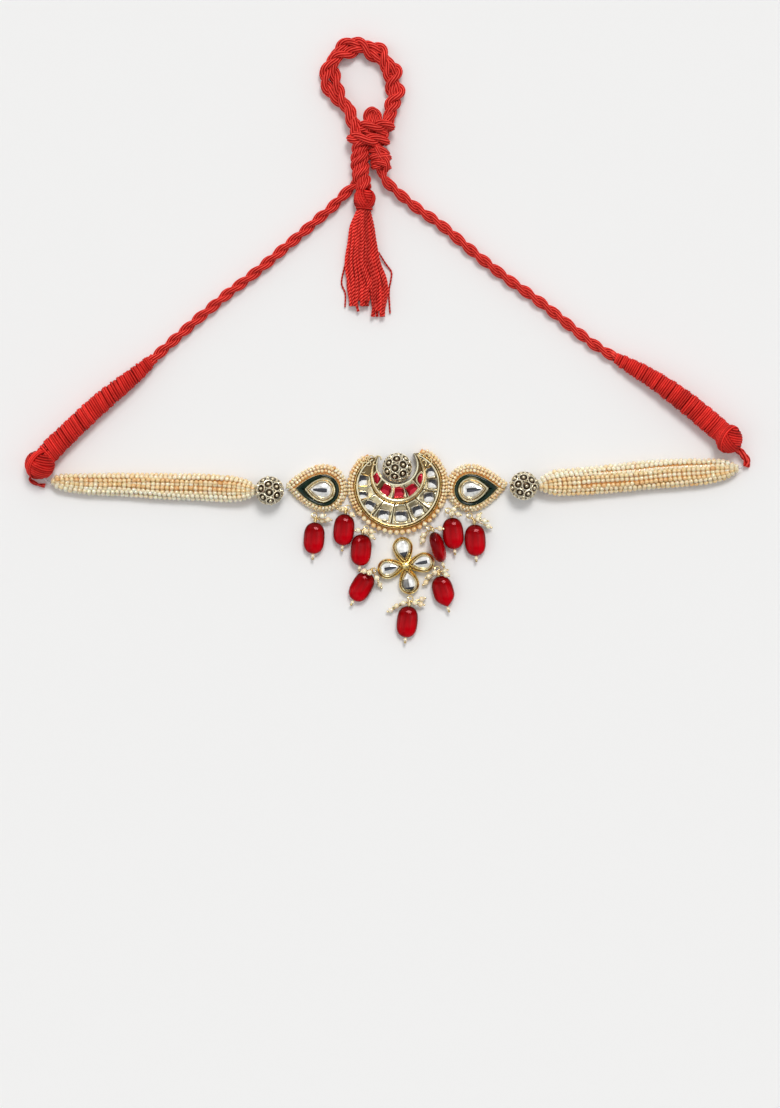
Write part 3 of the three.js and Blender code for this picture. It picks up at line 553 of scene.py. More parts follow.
# Pressed red glass: painted shade at the rim and the top, painted light towards the lower end, where the glass
# would glow through.
RED_GLASS = shaded_look(
    "red_glass", "red_glass", (0.5, 0.004, 0.01), 0.1,
    [(0.0, (0.04, 0.0, 0.0005)), (0.35, (0.26, 0.0, 0.001)), (0.7, (0.7, 0.001, 0.008)),
     (1.0, (1.0, 0.03, 0.06))],
    grain=(220.0, 1.0, 0.12, 0.0003), streaks=True, coat_weight=0.09, coat_roughness=0.02,
    specular_ior_level=0.25, specular_tint=(1.0, 0.25, 0.3, 1),
)
ENAMEL = clouded_look(
    "green_enamel", "green_enamel", (0.001, 0.014, 0.009), 0.1, (300.0, 2.0),
    [(0.3, (0.0006, 0.008, 0.005)), (0.7, (0.0015, 0.026, 0.015))], grain=(500.0, 1.0, 0.1, 0.0002),
    coat_weight=0.1, coat_roughness=0.04, specular_ior_level=0.35,
)
CLEAR_THREAD = clouded_look(
    "clear_thread", "clear_stone", (0.85, 0.86, 0.88), 0.2, (1500.0,),
    [(0.3, (0.7, 0.7, 0.72)), (0.7, (0.95, 0.95, 0.96))], coat_weight=0.6, transmission_weight=0.4,
)


# The two free cords, with the stretch of each inside the knot

CORD_DIAMETER = 0.004
CORD_PITCH = 13.2
CORD_ROUTES = {
    "left": [
        (-0.09058, -0.0086, 0.0027), (-0.0863, -0.0047, 0.0023), (-0.0817, -0.0005, 0.0021),
        (-0.0771, 0.0036, 0.002), (-0.0726, 0.0076, 0.002), (-0.0680, 0.0114, 0.002),
        (-0.0635, 0.0153, 0.002), (-0.0589, 0.0190, 0.002), (-0.0543, 0.0224, 0.002),
        (-0.0498, 0.0260, 0.002), (-0.0452, 0.0298, 0.002), (-0.0407, 0.0337, 0.002),
        (-0.0361, 0.0376, 0.002), (-0.0315, 0.0415, 0.002), (-0.0270, 0.0454, 0.002),
        (-0.0224, 0.0493, 0.0021), (-0.0189, 0.0529, 0.0023), (-0.0165, 0.0553, 0.0026),
    ],
    "right": [
        (0.0856, -0.0069, 0.0026), (0.0818, -0.0046, 0.0023), (0.0780, -0.0022, 0.0021),
        (0.0741, 0.0007, 0.002), (0.0695, 0.0043, 0.002), (0.0650, 0.0080, 0.002),
        (0.0604, 0.0117, 0.002), (0.0559, 0.0151, 0.002), (0.0513, 0.0184, 0.002),
        (0.0467, 0.0216, 0.002), (0.0422, 0.0250, 0.002), (0.0376, 0.0285, 0.002),
        (0.0331, 0.0321, 0.002), (0.0285, 0.0360, 0.002), (0.0239, 0.0399, 0.002),
        (0.0194, 0.0436, 0.002), (0.0148, 0.0468, 0.002), (0.0103, 0.0499, 0.0022),
        (0.0059, 0.0534, 0.0027), (0.0027, 0.0561, 0.0032),
    ],
}
KNOT_ENTRIES = {
    "left": [(-15.6, 56.2, 2.7), (-13.4, 58.2, 3.0), (-10.6, 60.6, 3.4)],
    "right": [(1.6, 57.2, 3.4), (-0.4, 58.9, 3.7), (-2.3, 61.8, 4.0), (-3.0, 65.6, 4.2)],
}
ROPE_STEP = 0.55


def cord_rope(side):
    """The whole line into the knot, in millimetres, and the step where the free cord ends."""
    route = np.array(CORD_ROUTES[side]) / MM
    line = smooth(np.vstack([route, KNOT_ENTRIES[side]]), ROPE_STEP)
    end = int(np.argmin(np.linalg.norm(line - route[-1], axis=1)))
    return line, end


def add_cord(side):
    line, end = cord_rope(side)
    start = 0.6 if side == "left" else 2.0
    solids = rope(line, 0.5 * CORD_DIAMETER / MM, CORD_PITCH, start=start, part=(0, end + 1))
    made = piece(f"cord_rope_{side}", solids, RED, [f"cord_{side}"])
    return rope(line, 0.5 * CORD_DIAMETER / MM, CORD_PITCH, start=start, part=(end, len(line)))


# The wound ends of the cord

WRAPS = {
    "left": {
        "rows": [
            (-131, -46.0, 4.6, 7.6, 7.4), (-128.2, -42.4, 4.1, 8.4, 7.8), (-120.5, -34.8, 4.0, 8.0, 7.6),
            (-111.7, -26.5, 3.9, 7.8, 7.4), (-104.5, -20.4, 3.7, 7.2, 7.0), (-98.0, -15.2, 3.4, 6.4, 6.2),
            (-94.2, -12.0, 2.9, 5.4, 5.2), (-91.4, -9.4, 2.7, 4.6, 4.6), (-90.0, -8.0, 2.6, 3.4, 3.4),
        ],
        "ball": (-132.1, -47.7, 5.4),
        "lead": [(-94.0, -11.6, 2.8), (-91.0, -9.0, 2.7), (-89.0, -7.2, 2.6)],
        "lean": 0.24,
        "over": (0.5, 1, 0.5),
        "tail": [(-135.2, -51.0, 3.2), (-136.2, -53.2, 1.6), (-133.6, -55.0, 1.2), (-130.6, -55.6, 1.2)],
        "strands": 2,
        "tail_radius": 0.8,
    },
    "right": {
        "rows": [
            (127.4, -36.6, 4.6, 7.4, 7.2), (124.0, -33.6, 4.1, 8.4, 7.8), (114.4, -25.6, 4.0, 8.2, 7.8),
            (107.5, -20.4, 3.9, 7.8, 7.4), (101.2, -16.0, 3.6, 7.0, 6.8), (95.4, -12.4, 3.2, 6.2, 6.0),
            (90.4, -9.6, 2.8, 5.2, 5.0), (87.4, -7.9, 2.7, 4.6, 4.6), (85.6, -6.9, 2.6, 3.4, 3.4),
        ],
        "ball": (128.6, -38.0, 5.1),
        "lead": [(89.0, -8.8, 2.7), (86.0, -7.1, 2.6), (84.0, -6.0, 2.5)],
        "lean": 0.05,
        "over": (1, 0.6, 0.6),
        "tail": [(131.4, -41.2, 3.6), (134.4, -44.0, 2.4), (135.9, -46.4, 1.8), (135.4, -48.2, 1.7)],
        "strands": 3,
        "tail_radius": 1.4,
    },
}
WRAP_PITCH, WRAP_THREAD, WRAP_STEPS, LUMP_PITCH, LUMP_HEIGHT = 0.86, 0.5, 15, 3.3, 0.36
BALL_THREAD, BALL_LAY, BALL_STEP = 0.52, 1.65, 0.9
# A wound thread is round; its ridge height gives a painted highlight on its outer side and painted shade towards
# the core.
ROUND_THREAD = circle(8)
PAINTED_OUTER_LIGHT = np.clip(ROUND_THREAD[:, 0], 0, 1) ** 1.5 * 0.8


def wound(rows, lean, thread=WRAP_THREAD):
    """A core with thread wound close round it, in uneven turns that rise in lumps."""
    line = smooth(rows, 0.5)
    centre, widths = line[:, :3], line[:, 3:]
    # The core's height of 0 gives it the groove colour: painted shade between the turns.
    core = sweep(centre, circle(14), (widths - thread) / 2, shade=0.4, height=0.0)
    run = run_length(centre)
    turns = run[-1] / WRAP_PITCH
    at = np.arange(0, turns, 1 / WRAP_STEPS)
    jitter = RANDOM.normal(0, 1, (int(turns) + 2, 2))
    uneven = lambda column: np.interp(at, np.arange(len(jitter)), column)
    places = np.clip(at * WRAP_PITCH + uneven(jitter[:, 0]) * 0.16, 0, run[-1])
    pick = lambda rows: np.stack([np.interp(places, run, column) for column in rows.T], axis=1)
    ahead, side, rise = [unit(pick(rows)) for rows in frames(centre)]
    lift = uneven(jitter[:, 1])
    lump = np.abs(np.sin(math.pi * places / LUMP_PITCH + lift * 0.3)) ** 0.6
    half = pick(widths) / 2 - thread * 0.85 + (lift * 0.1 + LUMP_HEIGHT * (lump - 0.5))[:, None]
    outward = orbit(TAU * at, side * half[:, :1], rise * half[:, 1:])
    path = pick(centre) + outward + ahead * (lean * np.cos(TAU * at) * half[:, 0])[:, None]
    shade = np.clip(0.5 + 0.25 * uneven(jitter[::-1, 1]), 0, 1)
    return [core, sweep(path, ROUND_THREAD, thread, side=unit(outward), shade=shade, height=PAINTED_OUTER_LIGHT)]


def thread_ball(centre, radius, bands, thread=BALL_THREAD):
    """A ball wound with thread in bands, each a direction, a lift and a half width."""
    centre = np.array(centre, float)
    core = balls([centre], radius - thread, 0.4, segments=20, rings=12)
    # A height of 0 gives the core the groove colour: painted shade between the bands.
    core.lay = core.lay * 0
    solids = [core]
    for axis, lift, half_width in bands:
        axis = unit(np.array(axis, float))
        first = unit(np.cross(axis, [0.31, 0.52, 0.8]))
        reach = radius - thread * 0.7 + lift
        for offset in np.arange(-half_width, half_width + 0.01, thread * BALL_LAY):
            ring = math.sqrt(max(reach**2 - offset**2, 0.3))
            outward = orbit(full_turn(max(14, int(TAU * ring / BALL_STEP))), first, np.cross(axis, first))
            shade = drawn_shade(0.5, 0.25)
            solids.append(sweep(
                centre + axis * offset + ring * outward, ROUND_THREAD, thread, side=outward,
                closed=True, shade=shade, height=PAINTED_OUTER_LIGHT,
            ))
    return solids


def add_wrap(side):
    wrap = WRAPS[side]
    x, y, radius = wrap["ball"]
    solids = wound(wrap["rows"], wrap["lean"]) + rope(smooth(wrap["lead"], ROPE_STEP), 1.9, CORD_PITCH)
    bands = [((0.25, 1, 0.2), 0.0, radius * 0.85), (wrap["over"], 0.2, 2.4), ((1, -0.6, 0.7), 0.34, 1.2)]
    solids += thread_ball((x, y, radius), radius, bands)
    solids += rope(smooth(wrap["tail"], 0.5), wrap["tail_radius"], 9.0, wrap["strands"], yarns=3, flat=0.8)
    piece(f"wound_end_{side}", solids, RED, [f"wrap_{side}"])


# The doubled loop and the knot

LOOP = [
    (-11.8, 77.0, 4.4, 4.0, 5.0), (-13.2, 81.0, 4.6, 4.4, 6.0), (-15.0, 86.4, 3.9, 6.0, 5.6),
    (-17.3, 89.4, 3.2, 7.2, 5.2), (-20.0, 92.8, 3.0, 8.2, 5.6), (-21.8, 96.6, 3.0, 8.6, 5.8),
    (-22.4, 100.6, 3.0, 8.6, 5.8), (-21.4, 104.8, 3.0, 8.6, 5.8), (-18.8, 108.4, 3.0, 8.6, 5.8),
    (-14.6, 110.6, 3.0, 8.4, 5.8), (-9.8, 110.8, 3.0, 8.4, 5.8), (-5.4, 109.0, 3.0, 8.6, 5.8),
    (-1.6, 105.6, 3.0, 8.6, 5.8), (0.8, 101.6, 3.0, 8.4, 5.8), (2.0, 97.2, 3.0, 8.2, 5.8),
    (2.2, 93.0, 3.1, 7.8, 5.6), (1.7, 89.4, 3.4, 7.0, 5.4), (0.8, 86.4, 4.1, 5.8, 5.6),
    (-1.2, 81.0, 4.6, 4.4, 6.0), (-2.8, 77.0, 4.4, 4.0, 5.0),
]
LOOP_ROPE, LOOP_PITCH = 2.25, 12.5
# Where the two cords of the loop stand in their turns about each other, along its length.
LOOP_TURNS = [(0, 0.0), (0.2, 0.35), (0.45, 0.95), (0.7, 2.0), (0.9, 3.2), (1.0, 3.7)]
KNOT_ROPE, KNOT_PITCH = 1.8, 12.0
# Rings of rope in the knot and then in the small one: x, y, z, reach, rise, slant, sag and rope radius.
KNOT_RINGS = [
    (-4.9, 80.4, 5.1, 5.3, 2.6, 0.3, -0.2, 2.3), (-7.8, 75.6, 5.1, 6.2, 2.6, -0.6, -0.5, 2.3),
    (-6.4, 78.1, 4.2, 4.6, 1.3, 0.0, 0.0, 2.1),
    (-3.6, 71.0, 4.5, 2.4, 2.0, -0.8, 0.2, 1.95), (-3.3, 68.4, 4.6, 2.9, 2.2, 0.8, 0.2, 2.05),
    (-3.1, 65.7, 4.5, 2.3, 2.0, -0.2, 0.2, 1.95),
]
# Two short stretches that come up out of the knot, and one over the small knot.
KNOT_LUMPS = [
    [(-8.6, 79.5, 4.6), (-8.2, 83.2, 6.0), (-7.2, 85.8, 6.6), (-5.6, 86.3, 6.4), (-4.5, 84.4, 5.6),
     (-4.3, 81.0, 4.6)],
    [(-7.0, 78.5, 6.4), (-6.4, 82.0, 7.4), (-5.8, 84.2, 6.2), (-5.8, 85.0, 3.6), (-5.8, 82.0, 2.2)],
    [(-5.6, 72.6, 4.2), (-4.4, 71.0, 6.9), (-2.6, 68.6, 7.3), (-1.0, 66.2, 6.6), (-0.6, 63.8, 4.6)],
]
KNOT_LEG = [
    (-9.6, 76.0, 4.6), (-10.7, 72.0, 4.5), (-10.9, 67.5, 4.3), (-10.7, 62.0, 4.3), (-10.0, 58.6, 4.2),
    (-9.6, 56.6, 4.2),
]
LEG_ROPES, LEG_ROPE, LEG_PITCH, LEG_ORBIT = 3, 2.0, 17, (1.95, 1.5)


def loop_ropes():
    """Two cords that lie side by side round the loop and cross over now and then."""
    line = smooth(LOOP, ROPE_STEP)
    centre, widths = line[:, :3], line[:, 3:]
    _, side, rise = frames(centre)
    share = run_length(centre) / run_length(centre)[-1]
    turns = smooth([(place, turn, 0) for place, turn in LOOP_TURNS], 0.01)
    angle = TAU * np.interp(share, turns[:, 0], turns[:, 1])
    reach = np.maximum(widths / 2 - LOOP_ROPE, 0.6)
    solids = []
    for i in range(2):
        path = centre + orbit(angle + math.pi * i, reach[:, :1] * side, reach[:, 1:] * rise)
        solids += rope(path, LOOP_ROPE, LOOP_PITCH, start=1.3 * i, shade=0.45 + 0.1 * i)
    return solids


def ring_rope(x, y, z, reach, rise, slant, sag, radius):
    ring = orbit(full_turn(20), [reach, slant, 0.0], [0.0, sag, rise]) + (x, y, z)
    path = smooth(ring, ROPE_STEP, closed=True)
    return rope(path, radius, KNOT_PITCH, side=carried(path, True), closed=True)


def add_knot(entries):
    solids = list(entries)
    for row in KNOT_RINGS:
        solids += ring_rope(*row)
    for route in KNOT_LUMPS:
        line = smooth(route, ROPE_STEP)
        solids += rope(line, KNOT_ROPE, KNOT_PITCH, side=carried(line))
    line = smooth(KNOT_LEG, ROPE_STEP)
    _, side, rise = frames(line)
    run = run_length(line)
    narrow = np.interp(run, [0, run[-1] - 4, run[-1]], [1, 1, 0.6])[:, None]
    for i in range(LEG_ROPES):
        phase = TAU * (run / LEG_PITCH + i / LEG_ROPES) + 0.8
        path = line + narrow * orbit(phase, LEG_ORBIT[0] * side, LEG_ORBIT[1] * rise)
        solids += rope(path, LEG_ROPE, 10.0, start=i, side=side)
    piece("knot_ropes", solids, RED, ["cord_knot"])


# The tassel

TASSEL_HEAD = (-9.3, 52.8, 4.3)
TASSEL_RADIUS = 4.05
SKIRT = [
    (-9.4, 50.5, 4.1, 5.2, 4.6), (-9.7, 48.2, 4.0, 6.2, 5.0), (-10.2, 43.0, 3.6, 9.8, 5.6),
    (-10.0, 36.3, 3.2, 12.2, 5.4), (-9.9, 29.5, 2.9, 15.0, 5.0), (-8.8, 23.0, 2.6, 17.0, 4.6),
    (-8.4, 16.0, 2.4, 16.6, 4.2), (-8.1, 8.5, 2.1, 15.2, 3.6),
]
TASSEL_THREADS, TASSEL_THREAD, THREAD_PITCH, THREAD_STEP = 46, 0.6, 2.6, 0.42
STRAYS = [
    [(-14.6, 34.0, 1.6), (-17.0, 27.0, 0.9), (-18.0, 21.3, 0.6), (-16.6, 17.4, 0.6), (-16.7, 12.2, 0.6)],
    [(-4.0, 33.0, 1.8), (-1.2, 28.6, 1.0), (0.9, 25.6, 0.6), (0.7, 22.6, 0.6), (0.0, 18.0, 0.6),
     (0.4, 9.8, 0.6)],
    [(-2.6, 22.0, 1.6), (-0.4, 17.4, 0.7), (0.2, 14.0, 0.6)],
]


def two_ply(line, radius, shade, start=0.0):
    section, ridge = ridged(2, 0.32, 4)
    turn = TAU * run_length(line) / THREAD_PITCH + start
    return sweep(line, section, radius, turn=turn, shade=shade, height=ridge)


def tassel_thread(across, height, end):
    """One two-ply thread of the skirt, from the head to its own uneven end."""
    rows = smooth(SKIRT, 1.0)
    rows = rows[rows[:, 1] >= end]
    share = np.linspace(0, 1, len(rows))
    sway = RANDOM.normal(0, 1, 6)
    wander = np.interp(share * 5, np.arange(6), sway) * share * 0.75
    lift = np.interp(share * 5, np.arange(6), RANDOM.normal(0, 0.35, 6)) * share
    x = rows[:, 0] + across * (rows[:, 3] / 2 - TASSEL_THREAD) + wander
    z = rows[:, 2] + height * (rows[:, 4] / 2 - TASSEL_THREAD) + lift
    line = smooth(np.stack([x, rows[:, 1], np.maximum(z, TASSEL_THREAD)], axis=1)[::2], THREAD_STEP)
    start = RANDOM.uniform(0, TAU)
    return two_ply(line, TASSEL_THREAD, drawn_shade(0.5, 0.22), start)


def add_tassel():
    bands = [((0.15, 1, 0.1), 0.0, 3.3), ((1, 0.5, 0.5), 0.1, 1.9), ((-0.6, 0.5, 1), 0.2, 1.1)]
    solids = thread_ball(TASSEL_HEAD, TASSEL_RADIUS, bands, thread=0.55)
    for i in range(TASSEL_THREADS):
        angle = TAU * i * GOLDEN_SHARE
        reach = math.sqrt((i + 0.5) / TASSEL_THREADS)
        across, height = reach * math.cos(angle), reach * math.sin(angle)
        end = RANDOM.uniform(10.2, 14.0) - (2.6 if across > 0.35 else 0)
        if 0.2 < across < 0.35:
            end += 3.5
        solids.append(tassel_thread(across, height, end))
    solids += [two_ply(smooth(route, THREAD_STEP), 0.4, 0.35) for route in STRAYS]
    neck = [(-9.4, 51.2, 4.1, 5.8, 5.2), (-9.5, 48.9, 4.1, 6.4, 5.4)]
    solids += wound(neck, 0.08, thread=0.42)
    piece("tassel_threads", solids, RED, ["tassel"])


# The strands of seed pearls

STRANDS = {
    "left": [
        (-127.2, -54.2, 3.4, 3.0, 2.8), (-124.6, -54.3, 3.2, 6.6, 4.4), (-114, -54.9, 3.0, 8.6, 5.2),
        (-100, -55.2, 3.0, 9.2, 5.6), (-86, -55.9, 3.1, 10.2, 5.8), (-71.4, -56.2, 3.2, 10.8, 5.8),
        (-59.7, -56.8, 3.9, 10.2, 5.6), (-54, -57.2, 4.9, 7.8, 5.0), (-51.4, -57.4, 5.4, 4.6, 3.8),
    ],
    "right": [
        (57.3, -55.6, 5.4, 4.8, 4.0), (60.5, -54.9, 4.7, 8.6, 5.2), (66, -54.4, 3.7, 11.2, 5.8),
        (77, -53.6, 3.2, 11.8, 5.8), (90, -52.6, 3.1, 11.8, 5.8), (104, -51.3, 3.0, 11.4, 5.6),
        (117, -50.3, 3.0, 10.4, 5.2), (127, -49.5, 3.1, 8.2, 4.4), (131.6, -49.2, 3.4, 3.6, 3.0),
    ],
}
# Each strand's place across and up the bundle, and how pale its pearls are.
LANES = [
    (-0.75, -0.64, 0.3), (0.0, -0.72, 0.2), (0.75, -0.64, 0.3), (-1.0, 0.05, 0.5), (-0.76, 0.6, 0.66),
    (-0.46, 0.86, 0.36), (-0.15, 0.72, 0.66), (0.16, 0.9, 0.42), (0.47, 0.74, 0.72), (0.78, 0.6, 0.84),
    (1.0, -0.1, 0.9),
]
SEED_RADIUS, SEED_PITCH, SEED_SCATTER = 0.94, 1.8, 0.05


def add_strands(side):
    line = smooth(STRANDS[side], 0.5)
    centre, widths = line[:, :3], line[:, 3:]
    _, across, rise = frames(centre)
    share = np.linspace(0, 1, len(line))
    # The core takes the pearl ramp's deep end: painted shade and warm bounce light showing between the pearls.
    solids = [sweep(centre, circle(10), widths * (0.36, 0.2), shade=0.0, height=0.2)]
    flip = -1 if side == "left" else 1
    reach = np.maximum(widths / 2 - SEED_RADIUS, 0.1)
    for left, up, pale in LANES:
        drift = RANDOM.normal(0, 1, (7, 2))
        sway = np.interp(share * 6, np.arange(7), drift[:, 0]) * 0.055
        lift = np.interp(share * 6, np.arange(7), drift[:, 1]) * 0.07
        places = centre + (flip * left + sway)[:, None] * reach[:, :1] * across
        places = places + (up + lift)[:, None] * reach[:, 1:] * rise
        places[:, 2] = np.maximum(places[:, 2], SEED_RADIUS)
        seeds = evenly(places, SEED_PITCH)
        seeds = seeds + RANDOM.normal(0, SEED_SCATTER, seeds.shape)
        shade = drawn_shade(pale, 0.12, len(seeds))
        radius = SEED_RADIUS * RANDOM.uniform(0.93, 1.02, len(seeds))
        solids.append(balls(seeds, radius, shade))
    piece(f"seed_strands_{side}", solids, PEARL, [f"pearl_strands_{side}"])


# Outlines: anticlockwise rows of points, and bodies made through them


def turned(points, degrees):
    """Points turned about the origin in the necklace's plane."""
    angle = math.radians(degrees)
    made = np.array(points, float)
    x, y = made[..., 0].copy(), made[..., 1].copy()
    made[..., 0] = x * math.cos(angle) - y * math.sin(angle)
    made[..., 1] = x * math.sin(angle) + y * math.cos(angle)
    return made


def direction(degrees):
    """Direction at an angle from straight down the page, positive towards +X."""
    angle = np.radians(degrees)
    return np.stack([np.sin(angle), -np.cos(angle)], axis=-1)


def inset(outline, distance):
    """An outline moved inwards by a distance."""
    before = unit(outline - np.roll(outline, 1, 0))
    after = unit(np.roll(outline, -1, 0) - outline)
    ahead = unit(before + after)
    inward = np.stack([-ahead[:, 1], ahead[:, 0]], axis=1)
    return outline + inward * (distance / np.maximum((ahead * after).sum(1), 0.6))[:, None]


def level(outline, height):
    return np.column_stack([outline, np.full(len(outline), height)])


def walled(outline, rows, closed=True):
    """A wall round an outline, or a filled body, through rows of inset, height and shade."""
    rings = np.stack([level(inset(outline, row[0]), row[1]) for row in rows])
    return grid(rings, closed, shade=np.array([row[2] for row in rows]))


def between(outer, inner, rows):
    """A closed wall between two paired outlines, through rows of share, height and shade."""
    gaps = [np.linalg.norm(outer - np.roll(inner, step, 0)) for step in range(len(inner))]
    inner = np.roll(inner, int(np.argmin(gaps)), 0)
    rings = np.stack([level(outer + (inner - outer) * row[0], row[1]) for row in rows])
    return grid(rings, True, shade=np.array([row[2] for row in rows]))


def perimeter(steps):
    """Points round a square of half size 1, from its lower left corner."""
    run = np.linspace(-1, 1, steps, endpoint=False)
    one = np.ones(steps)
    sides = [(run, -one), (one, run), (-run, one), (-one, -run)]
    return np.vstack([np.stack(side, axis=1) for side in sides])


def rounded(square, power):
    """Points of a square drawn in to a square with rounded corners."""
    reach = np.abs(square).max(-1, keepdims=True)
    total = np.maximum((np.abs(square) ** power).sum(-1, keepdims=True), 1e-9)
    return square * reach / total ** (1 / power)


def drop_sides(radius, reach, steps):
    """A drop's length stations and half widths, from its round end to its point on +X."""
    shoulder = math.radians(78)
    touch = np.array([radius * math.cos(shoulder), radius * math.sin(shoulder)])
    pull = 0.5 * (reach - touch[0])
    bend = touch + pull * np.array([math.sin(shoulder), -math.cos(shoulder)])
    angle = np.linspace(math.pi, shoulder, steps)[:, None]
    share = np.linspace(0, 1, steps)[1:, None]
    arc = radius * np.hstack([np.cos(angle), np.sin(angle)])
    side = touch * (1 - share) ** 2 + 2 * bend * share * (1 - share) + np.array([reach, 0]) * share**2
    return np.vstack([arc, side])


def drop_outline(radius, reach, steps=16):
    side = drop_sides(radius, reach, steps)
    return np.vstack([side * (1, -1), side[::-1][1:-1]])


def slab(top, floor, shades):
    """A body under a grid of points, with one shade for each face of its top."""
    rows, columns = top.shape[:2]
    low = top.copy()
    low[..., 2] = floor
    index = np.arange(rows * columns).reshape(rows, columns)
    quads = np.stack([index[:-1, :-1], index[1:, :-1], index[1:, 1:], index[:-1, 1:]], axis=-1)
    quads = quads.reshape(-1, 4)
    edge = np.concatenate([index[:-1, 0], index[-1, :-1], index[:0:-1, -1], index[0, :0:-1]])
    ahead = np.roll(edge, -1)
    lift = rows * columns
    skirt = np.stack([edge, edge + lift, ahead + lift, ahead], axis=-1)
    points = np.vstack([top.reshape(-1, 3), low.reshape(-1, 3)])
    made = Solid(points, [quads, quads[:, ::-1] + lift, skirt], 0)
    made.shade = np.concatenate([shades.ravel(), np.full(len(quads), 0.3), np.full(len(skirt), 0.3)])
    return made


def placed(solid, x, y, turn=0.0):
    solid.points = turned(solid.points, turn) + (x, y, 0)
    return solid


# Clear stones over foil: one shade a facet, painted as a reflection, dark where the foil would mirror the room
# and pale below

CUTS = np.array([
    -1, -0.92, -0.82, -0.66, -0.5, -0.34, -0.18, -0.04, 0.1, 0.24, 0.38, 0.52, 0.68, 0.82, 0.92, 1,
])
CUSHION = 4.5


def square_stone(half_width, half_height, low, high, floor, lean, tones):
    """A cushion-cut stone, standing on the page. Tones are the painted reflections of its lower, upper and side
    facets.
    """
    u, v = np.meshgrid(CUTS, CUTS, indexing="ij")
    flat = rounded(np.stack([u, v], axis=-1), CUSHION) * (half_width, half_height)
    fall = np.clip((np.maximum(np.abs(u), np.abs(v)) - 0.66) / 0.34, 0, 1)
    top = np.dstack([flat, high - (high - low) * fall])
    middle = (CUTS[1:] + CUTS[:-1]) / 2
    across, upward = np.meshgrid(middle, middle, indexing="ij")
    white, dark, side = tones
    # Painted reflections: dark above a curved border and pale below it, with side tones at the sides and grey
    # along the top and the foot.
    border = 0.12 - 0.45 * across**2 + lean * across
    shades = np.where(upward > border, dark, white)
    shades = np.where((np.abs(across) > 0.74) & (shades < 0.5), side, shades)
    shades = np.where(upward > 0.84, 0.62, shades)
    shades = np.where((upward < -0.9) | ((np.abs(across) > 0.9) & (upward < border)), 0.5, shades)
    return slab(top, floor, shades + RANDOM.uniform(-0.04, 0.04, shades.shape))


def drop_stone(radius, reach, low, high, floor, tone):
    """A drop-cut stone with a dome, its facets toned as painted reflections by their place along and across it.
    """
    side = drop_sides(radius, reach, 9)
    side[0, 1] = side[-1, 1] = 0.02 * radius
    across = np.array([-1, -0.93, -0.78, -0.5, -0.25, 0, 0.25, 0.5, 0.78, 0.93, 1])
    along = (side[:, 0] - side[0, 0]) / (side[-1, 0] - side[0, 0])
    x = np.broadcast_to(side[:, :1], (len(side), len(across)))
    y = side[:, 1:] * across[None]
    edge = np.maximum(np.abs(across)[None], np.abs(2 * along[:, None] - 1) ** 3)
    top = np.dstack([x, y, high - (high - low) * edge**2.5])
    s, v = np.meshgrid((along[1:] + along[:-1]) / 2, (across[1:] + across[:-1]) / 2, indexing="ij")
    return slab(top, floor, tone(s, v) + RANDOM.uniform(-0.03, 0.03, s.shape))


def barred(s, v):
    """Painted reflection: pale, with one dark bar along the middle."""
    bar = (np.abs(v) < 0.3) & (s > 0.2) & (s < 0.85)
    return np.where(bar, np.where(v > 0, 0.05, 0.22), np.where(np.abs(v) > 0.75, 0.7, 0.95))


def patched(s, v):
    """Painted reflection: pale, with a dark patch towards the point."""
    patch = (s > 0.62) & (np.abs(v) < 0.8)
    return np.where(patch, 0.15, np.where(np.abs(v) > 0.93, 0.5, 0.97))


def grey_sided_reflection(s, v):
    """Painted reflection: grey down one side, with a dark foot at the round end."""
    grey = np.where((v > 0.1) & (s > 0.1) & (s < 0.62), 0.38, 0.8)
    return np.where((s < 0.2) & (np.abs(v) < 0.7), 0.12, grey)


# The crescent, drawn about its own centre and then turned and moved to its place

CRESCENT = {"x": 3.34, "y": -55.2, "turn": 5.65, "radius": 16.4, "rise": 13.5, "horn": 11.2}
CELL_FLOOR, RIM_TOP, INNER_FLOOR, INNER_TOP = 2.2, 4.2, 3.6, 5.4
MOUTH = (*turned(np.array([-0.3, 7.7]), -CRESCENT["turn"]), 7.4)
INNER = (*turned(np.array([0.11, 3.34]), -CRESCENT["turn"]), 10.6)
RIM, CELL_WALL, INNER_WALL, STONE_GAP = 1.35, 0.4, 0.85, 0.05
CELL_ANGLES = [-112, -94, -73, -45.5, -15.3, 15.3, 45.5, 73, 94, 112]
RUBY_ANGLES = [-40.3, -12.1, 12.1, 40.3]
# Clear stones: place on the page, half width, half height, turn and lean of the dark painted reflection.
CLEAR_STONES = [
    (-10.1, -53.8, 1.95, 2.4, 4, 0.3),
    (-9.85, -59.3, 1.85, 1.75, -8, 0.0),
    (-7.2, -63.2, 2.05, 2.1, -38, 0.0),
    (-2.0, -66.7, 2.15, 2.1, -14, 0.35),
    (4.7, -67.1, 2.35, 2.15, 6, -0.3),
    (10.8, -65.1, 2.1, 2.2, 36, 0.2),
    (15.1, -60.0, 1.95, 2.0, 12, 0.0),
    (16.5, -54.9, 1.85, 1.9, -4, -0.5),
    (15.8, -50.4, 1.75, 2.3, 12, 0.0),
]
# Red stones: place on the page, half width, half height and turn.
RED_STONES = [(-1.35, -57.4, 1.9, 1.9, -26), (3.45, -58.4, 2.0, 1.85, 3), (8.7, -57.3, 1.9, 1.9, 33)]
MARQUISES, MARQUISE = [(-4.55, -52.75), (12.1, -53.2)], (1.35, 2.3)
# Painted reflections: tones of the square stones' lower, upper and side facets.
CLEAR_PAINTED_REFLECTIONS, RED_PAINTED_REFLECTIONS = (0.97, 0.06, 0.35), (0.75, 0.45, 0.2)


def edge_reach(degrees):
    """The crescent's outer edge at an angle: half a circle below and a flatter oval above."""
    degrees = np.asarray(degrees, float)
    across, upward = direction(degrees).T / np.array([[CRESCENT["radius"]], [CRESCENT["rise"]]])
    return np.where(np.abs(degrees) <= 90, CRESCENT["radius"], 1 / np.hypot(across, upward))


